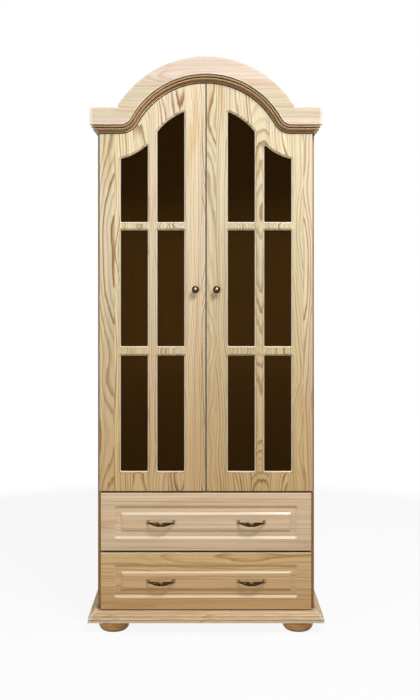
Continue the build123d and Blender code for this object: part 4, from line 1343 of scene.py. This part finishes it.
@dataclass
class Carcass:
    """The still part of the cabinet: panels, rails, shelves, backs, runners and small hardware."""

    board_light: Colour = (0.68, 0.48, 0.28)
    board_late: Colour = (0.42, 0.24, 0.09)
    beech_light: Colour = (0.62, 0.42, 0.27)
    beech_late: Colour = (0.52, 0.33, 0.19)
    arm_plate_x: float = 0.378
    arm_plate_y: float = -0.120
    arm_screw_step: float = 0.016
    nail_sink: float = 0.0004
    nail_segments: int = 14
    nail_pitch: float = 0.12
    nail_side_x: float = 0.390
    nail_side: Range = (0.10, 1.90)
    nail_row: Range = (-0.36, 0.36)
    nail_row_heights: tuple[float, ...] = (0.089, 0.509, 0.524)
    nail_arch_z: float = 1.741
    nail_arch_radius: float = 0.360
    nail_arch_turns: range = range(30, 151, 12)
    # Radius and height pairs of a nail's head.
    nail_profile: tuple[tuple[float, float], ...] = (
        (0.0004, 0.0),
        (0.0022, 0.0),
        (0.0022, 0.00042),
        (0.0016, 0.00045),
        (0.0003, 0.00045),
    )

    def pine(self, name: str, grain: Grain, seed: float) -> Pine:
        """Return the carcass's pine for one direction of the boards."""
        # The long hollow reach paints shade on the strips of side panel beside the doors; the darker board
        # colours are partly the wood's own tone and partly painted shade.
        wood = {"light": self.board_light, "late": self.board_late, "hollow_shading": 1.0, "hollow_shade_reach": 0.030}
        return Pine(name, grain=grain, seed=seed, edge_strength=0.0, **wood)

    def build(self, shop: Workshop) -> None:
        """Dress the panels and add the hardware.

        Args:
            shop: The workshop.
        """
        sides = self.pine("side panel pine", Grain.UPRIGHT_SIDE, 3.0)
        shop.dress(sides, "left_side_panel", "right_side_panel")
        shelves = self.pine("shelf pine", Grain.LEVEL_FLAT, 5.0)
        shop.dress(shelves, "bottom_panel", "middle_panel", "drawer_rail")
        shop.dress(shelves, "upper_shelf", "lower_shelf", "shoulder_boards")
        rails = self.pine("rail pine", Grain.LEVEL_FRONT, 8.0)
        shop.dress(rails, "arched_header", "arched_back_rail", "plinth_back")
        shop.dress(self.pine("block pine", Grain.LEVEL_FLAT, 11.0), "corner_blocks")
        shop.dress(Plywood("back plywood"), "lower_back_panel", "upper_back_panel")
        shop.dress(Plywood("roof plywood", grain=Grain.DEPTHWISE_FLAT), "roof_sheet")
        beech = Pine(
            "beech",
            light=self.beech_light,
            late=self.beech_late,
            grain=Grain.DEPTHWISE,
            stave_width=0.05,
            ring_spacing=0.0021,
            figure=0.4,
            tones=0.04,
            coat=0.0,
            roughness=0.5,
        )
        shop.dress(beech, "drawer_runners", "dowels")
        shop.dress(NICKEL, "left_hinge_arms", "right_hinge_arms", "shelf_pins")
        shop.dress(Felt("felt"), "felt_bumpers")
        self.back_nails(shop)
        self.arm_screws(shop)

    def arm_screws(self, shop: Workshop) -> None:
        """Put a cross-head screw on each end of every hinge arm's plate.

        Args:
            shop: The workshop.
        """
        low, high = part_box("hinge_arm_screws")
        frames = [
            looking(side * self.arm_plate_x, self.arm_plate_y, hinge_z + step, -90 * side, "Y")
            for hinge_z in Doors.hinge_heights
            for step in (-self.arm_screw_step, self.arm_screw_step)
            for side in (-1, 1)
        ]
        piece = CrossHeadScrews("hinge_arm_screw_heads", frames).build()
        shop.place(piece, "carcass", BARE_STEEL, "zinc_steel", "hinge_arm_screws")
        LOG.info("arm screws from %.3f to %.3f", low.z, high.z)

    def back_nails(self, shop: Workshop) -> None:
        """Nail the back sheets along their edges.

        Args:
            shop: The workshop.
        """
        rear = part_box("upper_back_panel")[1].y
        spots = [(x, z) for z in self.steps(*self.nail_side) for x in (-self.nail_side_x, self.nail_side_x)]
        spots += [(x, z) for x in self.steps(*self.nail_row) for z in self.nail_row_heights]
        for turn in self.nail_arch_turns:
            x = self.nail_arch_radius * math.cos(math.radians(turn))
            spots.append((x, self.nail_arch_z + self.nail_arch_radius * math.sin(math.radians(turn))))
        shape = bmesh.new()
        for x, z in spots:
            frame = looking(x, rear - self.nail_sink, z, -90)
            skin(shape, turned_rings(self.nail_profile, frame, self.nail_segments))
        shop.place(mesh_object("back_panel_nails", shape), "carcass", BARE_STEEL, "zinc_steel")

    def steps(self, low: float, high: float) -> list[float]:
        """Return evenly spaced places from low to high, about one nail pitch apart."""
        count = max(1, round((high - low) / self.nail_pitch))
        return [low + (high - low) * i / count for i in range(count + 1)]


@dataclass
class Crown:
    """The arched fascia of level staves, its moulding and the returns along the sides."""

    light: Colour = (0.80, 0.67, 0.53)
    late: Colour = (0.50, 0.32, 0.16)
    # The moulding's wood is darkened to paint the shade under the fascia and its beads; the edge colour
    # paints the highlight on the beads, and the hollow colour the shade in the coves.
    moulding_shaded_tone: Colour = (0.44, 0.235, 0.070)
    moulding_shaded_late: Colour = (0.46, 0.24, 0.075)
    moulding_shade: Colour = (0.050, 0.014, 0.001)
    moulding_highlight: Colour = (1.0, 0.83, 0.58)

    def build(self, shop: Workshop) -> None:
        """Dress the crown.

        Args:
            shop: The workshop.
        """
        # The boards keep the default painted highlight on their rounded edges.
        boards = {
            "light": self.light,
            "late": self.late,
            "stave_width": 0.120,
            "figure": 0.5,
            "tones": 0.07,
            "flame": 0.03,
        }
        # The moulding strips: painted shade in their hollows, painted highlight on their edges, no lacquer.
        strips = {
            "light": self.moulding_shaded_tone,
            "late": self.moulding_shaded_late,
            "hollow_shade": self.moulding_shade,
            "edge": self.moulding_highlight,
            "stave_width": 0.5,
            "figure": 0.3,
            "hollow_shading": 1.0,
            "hollow_shade_reach": 0.022,
            "edge_strength": 1.0,
            "edge_reach": 0.0046,
            "edge_clear": 1.0,
            "coat": 0.0,
        }
        front, returns = Grain.LEVEL_FRONT, Grain.DEPTHWISE
        shop.dress(Pine("crown pine", grain=front, seed=14.0, **boards), "crown_fascia")
        shop.dress(Pine("crown return pine", grain=returns, seed=17.0, **boards), "fascia_returns")
        shop.dress(Pine("moulding pine", grain=front, seed=18.0, **strips), "crown_moulding")
        shop.dress(Pine("moulding return pine", grain=returns, seed=19.0, **strips), "moulding_returns")


@dataclass
class Base:
    """The mitred plinth and the four turned feet."""

    light: Colour = (0.90, 0.67, 0.40)
    late: Colour = (0.46, 0.24, 0.09)
    foot_light: Colour = (0.80, 0.43, 0.15)
    foot_late: Colour = (0.46, 0.20, 0.06)
    # A near-white amber, so that the base takes little of the painted shade low down.
    amber: Colour = (1.0, 0.97, 0.92)

    def build(self, shop: Workshop) -> None:
        """Dress the base.

        Args:
            shop: The workshop.
        """
        wood = {"light": self.light, "late": self.late, "amber": self.amber, "figure": 0.6}
        shop.dress(Pine("plinth pine", grain=Grain.LEVEL_FRONT, seed=21.0, **wood), "plinth_front")
        side = Pine("plinth side pine", grain=Grain.DEPTHWISE, seed=23.0, **wood)
        shop.dress(side, "plinth_left", "plinth_right")
        turned = {"light": self.foot_light, "late": self.foot_late, "figure": 0.7, "tones": 0.08}
        feet = Pine("foot pine", grain=Grain.LEVEL_FLAT, seed=25.0, amber=self.amber, **turned)
        shop.dress(feet, "turned_feet")


@dataclass
class Doors:
    """The two glazed doors with their knobs, hinges and screws."""

    light: Colour = (0.88, 0.76, 0.53)
    late: Colour = (0.34, 0.16, 0.04)
    seeds: tuple[float, float] = (33.0, 47.0)
    hinge_heights: tuple[float, ...] = (0.610, 0.950, 1.340, 1.750)
    hinge_x: float = 0.365
    hinge_flange: float = 0.001
    hinge_screw_step: float = 0.024
    knob_x: float = 0.039
    knob_z: float = 1.265
    front_y: float = -0.187
    back_y: float = -0.167

    def build(self, shop: Workshop) -> None:
        """Dress both doors.

        Args:
            shop: The workshop.
        """
        wood = {"light": self.light, "late": self.late, "figure": 1.0, "hollow_shading": 0.95, "hollow_shade_reach": 0.007}
        # The rims paint a highlight on the edges of the pane openings that look up or sideways.
        rims = {"edge_strength": 0.0, "edge_clear": 0.15, "rim_strength": 0.9, "face": self.front_y}
        for side, name, seed in zip((-1, 1), ("left", "right"), self.seeds):
            leaf = Pine(f"{name} door pine", grain=Grain.UPRIGHT, seed=seed, **wood, **rims)
            shop.dress(leaf, f"{name}_door_leaf", f"{name}_glazing_beads")
            shop.dress(SmokedGlass("smoked glass"), f"{name}_door_glass")
            shop.dress(NICKEL, f"{name}_hinge_cups", f"{name}_hinge_links")
            knob = TurnedKnob(f"{name}_bronze_knob", side * self.knob_x, self.knob_z, self.front_y).build()
            shop.place(knob, f"{name}_door", BRONZE, "antique_bronze", f"{name}_door_knob")
            screws = CrossHeadScrews(
                f"{name}_door_screw_heads",
                self.screw_frames(side),
                head_radius=0.0035,
                head_height=0.0012,
                recess_depth=0.0008,
            )
            shop.place(screws.build(), f"{name}_door", BARE_STEEL, "zinc_steel", f"{name}_door_screws")

    def screw_frames(self, side: int) -> list[Matrix]:
        """Find the screws of one door: the knob's, then two on each hinge cup.

        Args:
            side: -1 for the left door and 1 for the right one.

        Returns:
            The screws' frames, which look into the cabinet.
        """
        frames = [looking(side * self.knob_x, self.back_y, self.knob_z, -90)]
        for hinge_z in self.hinge_heights:
            for z in (hinge_z - self.hinge_screw_step, hinge_z + self.hinge_screw_step):
                frames.append(looking(side * self.hinge_x, self.back_y + self.hinge_flange, z, -90))
        return frames


@dataclass(frozen=True)
class DrawerLook:
    """What sets one drawer apart: the height of its handles, its wood, and the colour of its painted shade
    low down.
    """

    handle_z: float
    seed: float
    light: Colour
    late: Colour
    amber: Colour


@dataclass
class Drawers:
    """The two drawers with their routed fronts, boxes, bow handles and screws."""

    # The lower drawer's wood is darker and more amber than the upper's: painted shade, as the light falls off
    # lower down.
    lower: DrawerLook = DrawerLook(0.1865, 57.0, (0.80, 0.55, 0.265), (0.44, 0.20, 0.05), (0.84, 0.76, 0.66))
    upper: DrawerLook = DrawerLook(0.4045, 53.0, (0.86, 0.66, 0.42), (0.50, 0.28, 0.12), (1.0, 0.98, 0.94))
    # Below these heights a front takes its painted shade, darker and more amber.
    amber_range: Range = (0.08, 0.21)
    box_light: Colour = (0.72, 0.54, 0.35)
    box_late: Colour = (0.5, 0.33, 0.17)
    handle_x: float = 0.167
    handle_screws_x: tuple[float, ...] = (-0.215, -0.119, 0.119, 0.215)
    corner_screw_x: float = 0.300
    corner_screw_rise: float = 0.045
    front_y: float = -0.187
    inner_y: float = -0.152

    def build(self, shop: Workshop) -> None:
        """Dress both drawers.

        Args:
            shop: The workshop.
        """
        wood = {"light": self.box_light, "late": self.box_late, "coat": 0.0}
        box = Pine("drawer box pine", grain=Grain.LEVEL_FRONT, seed=61.0, **wood)
        box_side = Pine("drawer side pine", grain=Grain.DEPTHWISE, seed=63.0, **wood)
        for name, look in (("lower", self.lower), ("upper", self.upper)):
            shop.dress(self.front(name, look), f"{name}_drawer_front")
            shop.dress(box, f"{name}_drawer_inner_front", f"{name}_drawer_back")
            shop.dress(box_side, f"{name}_drawer_sides")
            shop.dress(Plywood("drawer plywood", grain=Grain.LEVEL_FLAT), f"{name}_drawer_bottom")
            for side, hand in ((-1, "left"), (1, "right")):
                spot = (side * self.handle_x, look.handle_z, self.front_y)
                handle = BowHandle(f"{name}_{hand}_bow_handle", *spot).build()
                shop.place(handle, f"{name}_drawer", DARK_BRONZE, "antique_bronze", f"{name}_drawer_handles")
            screws = CrossHeadScrews(f"{name}_drawer_screw_heads", self.screw_frames(look.handle_z)).build()
            shop.place(screws, f"{name}_drawer", BARE_STEEL, "zinc_steel", f"{name}_drawer_screws")

    def front(self, name: str, look: DrawerLook) -> Pine:
        """Choose the pine of one drawer's front.

        Args:
            name: The drawer's name.
            look: Its wood.

        Returns:
            The finish.
        """
        return Pine(
            f"{name} drawer pine",
            light=look.light,
            late=look.late,
            amber=look.amber,
            amber_range=self.amber_range,
            grain=Grain.LEVEL_FRONT,
            stave_width=0.24,
            seed=look.seed,
            tones=0.05,
            flame=0.03,
            hollow_shading=1.0,
            hollow_shade_reach=0.010,
            edge_strength=0.0,
            edge_clear=0.6,
            # The rims paint a highlight on the bevels of the routed front that look up.
            rim_strength=0.75,
            rim_sideways=0.2,
            face=self.front_y,
        )

    def screw_frames(self, z: float) -> list[Matrix]:
        """Find the screws of one drawer: four for the handles, then four at the corners.

        Args:
            z: The height of the handles.

        Returns:
            The screws' frames, which look into the drawer.
        """
        spots = [(x, z) for x in self.handle_screws_x]
        for x in (-self.corner_screw_x, self.corner_screw_x):
            spots += [(x, z - self.corner_screw_rise), (x, z + self.corner_screw_rise)]
        return [looking(x, self.inner_y, height, -90) for x, height in spots]


@dataclass(frozen=True)
class Lamp:
    """A soft rectangular lamp: where it hangs, what it points at, its width and height, and its watts."""

    name: str
    spot: Point
    target: Point
    size: Range
    power: float

    def hang(self) -> None:
        """Hang the lamp."""
        data = bpy.data.lights.new(self.name, "AREA")
        data.shape = "RECTANGLE"
        data.size, data.size_y = self.size
        data.energy = self.power
        lamp = in_scene(bpy.data.objects.new(self.name, data))
        lamp.location = self.spot
        lamp.rotation_euler = (Vector(self.target) - Vector(self.spot)).to_track_quat("-Z", "Y").to_euler()


@dataclass
class Studio:
    """A white studio: ground, two soft lamps, an even sky and the camera."""

    camera_spot: Point = (0.0, -3.787, 1.318)
    lens: float = 50.07
    shift: Range = (0.0057, -0.1068)
    sky: float = 0.26
    glossy_sky: float = 0.42
    horizon: Range = (0.02, 0.10)
    lamps: tuple[Lamp, ...] = (
        Lamp("key lamp", (1.1, -2.2, 3.9), (0.0, -0.15, 1.2), (1.4, 0.8), 98.0),
        Lamp("fill lamp", (-1.9, -3.4, 1.0), (0.0, -0.1, 0.6), (1.6, 1.6), 32.0),
    )

    def build(self) -> None:
        """Set the stage."""
        self.ground()
        self.world()
        for lamp in self.lamps:
            lamp.hang()
        self.camera()
        bpy.context.scene.view_settings.view_transform = "Standard"

    def ground(self) -> None:
        """Lay the plain ground."""
        shape = bmesh.new()
        bmesh.ops.create_grid(shape, x_segments=8, y_segments=8, size=30.0)
        ground = mesh_object("studio_ground", shape, smooth=False)
        ground.data.materials.append(Backdrop("studio white").material())

    def world(self) -> None:
        """Make the sky white to the camera, white at the horizon in mirrors, and plain to everything else."""
        world = bpy.data.worlds.new("studio sky")
        bpy.context.scene.world = world
        world.use_nodes = True
        graph = Graph(world.node_tree)
        sky = world.node_tree.nodes["Background"]
        path = graph.add("ShaderNodeLightPath").outputs
        seen = graph.math("MAXIMUM", path["Is Camera Ray"], path["Is Transmission Ray"])
        upward = graph.parts(graph.add("ShaderNodeTexCoord").outputs["Generated"])[2]
        mirrored = graph.span(graph.ease(upward, *self.horizon), 1.0, self.glossy_sky)
        strength = graph.span(path["Is Glossy Ray"], graph.span(seen, self.sky, 1.0), mirrored)
        sky.inputs["Color"].default_value = (*WHITE, 1.0)
        graph.feed(sky.inputs["Strength"], strength)

    def camera(self) -> None:
        """Set up the camera at the photograph's place."""
        data = bpy.data.cameras.new("camera")
        data.lens = self.lens
        data.sensor_width = 36.0
        data.shift_x, data.shift_y = self.shift
        data.clip_end = 200.0
        camera = in_scene(bpy.data.objects.new("camera", data))
        camera.location = self.camera_spot
        camera.rotation_euler = (math.radians(90.0), 0.0, 0.0)
        bpy.context.scene.camera = camera


def main() -> None:
    """Load the frame, dress every part of the cabinet and set the studio."""
    logging.basicConfig(level=logging.INFO, format="%(name)s: %(message)s")
    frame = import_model()
    shop = Workshop(frame["nodes"])
    Studio().build()
    builders: list[Callable[[Workshop], None]] = [
        Carcass().build,
        Crown().build,
        Base().build,
        Doors().build,
        Drawers().build,
    ]
    for build in builders:
        build(shop)


if __name__ == "__main__":
    main()
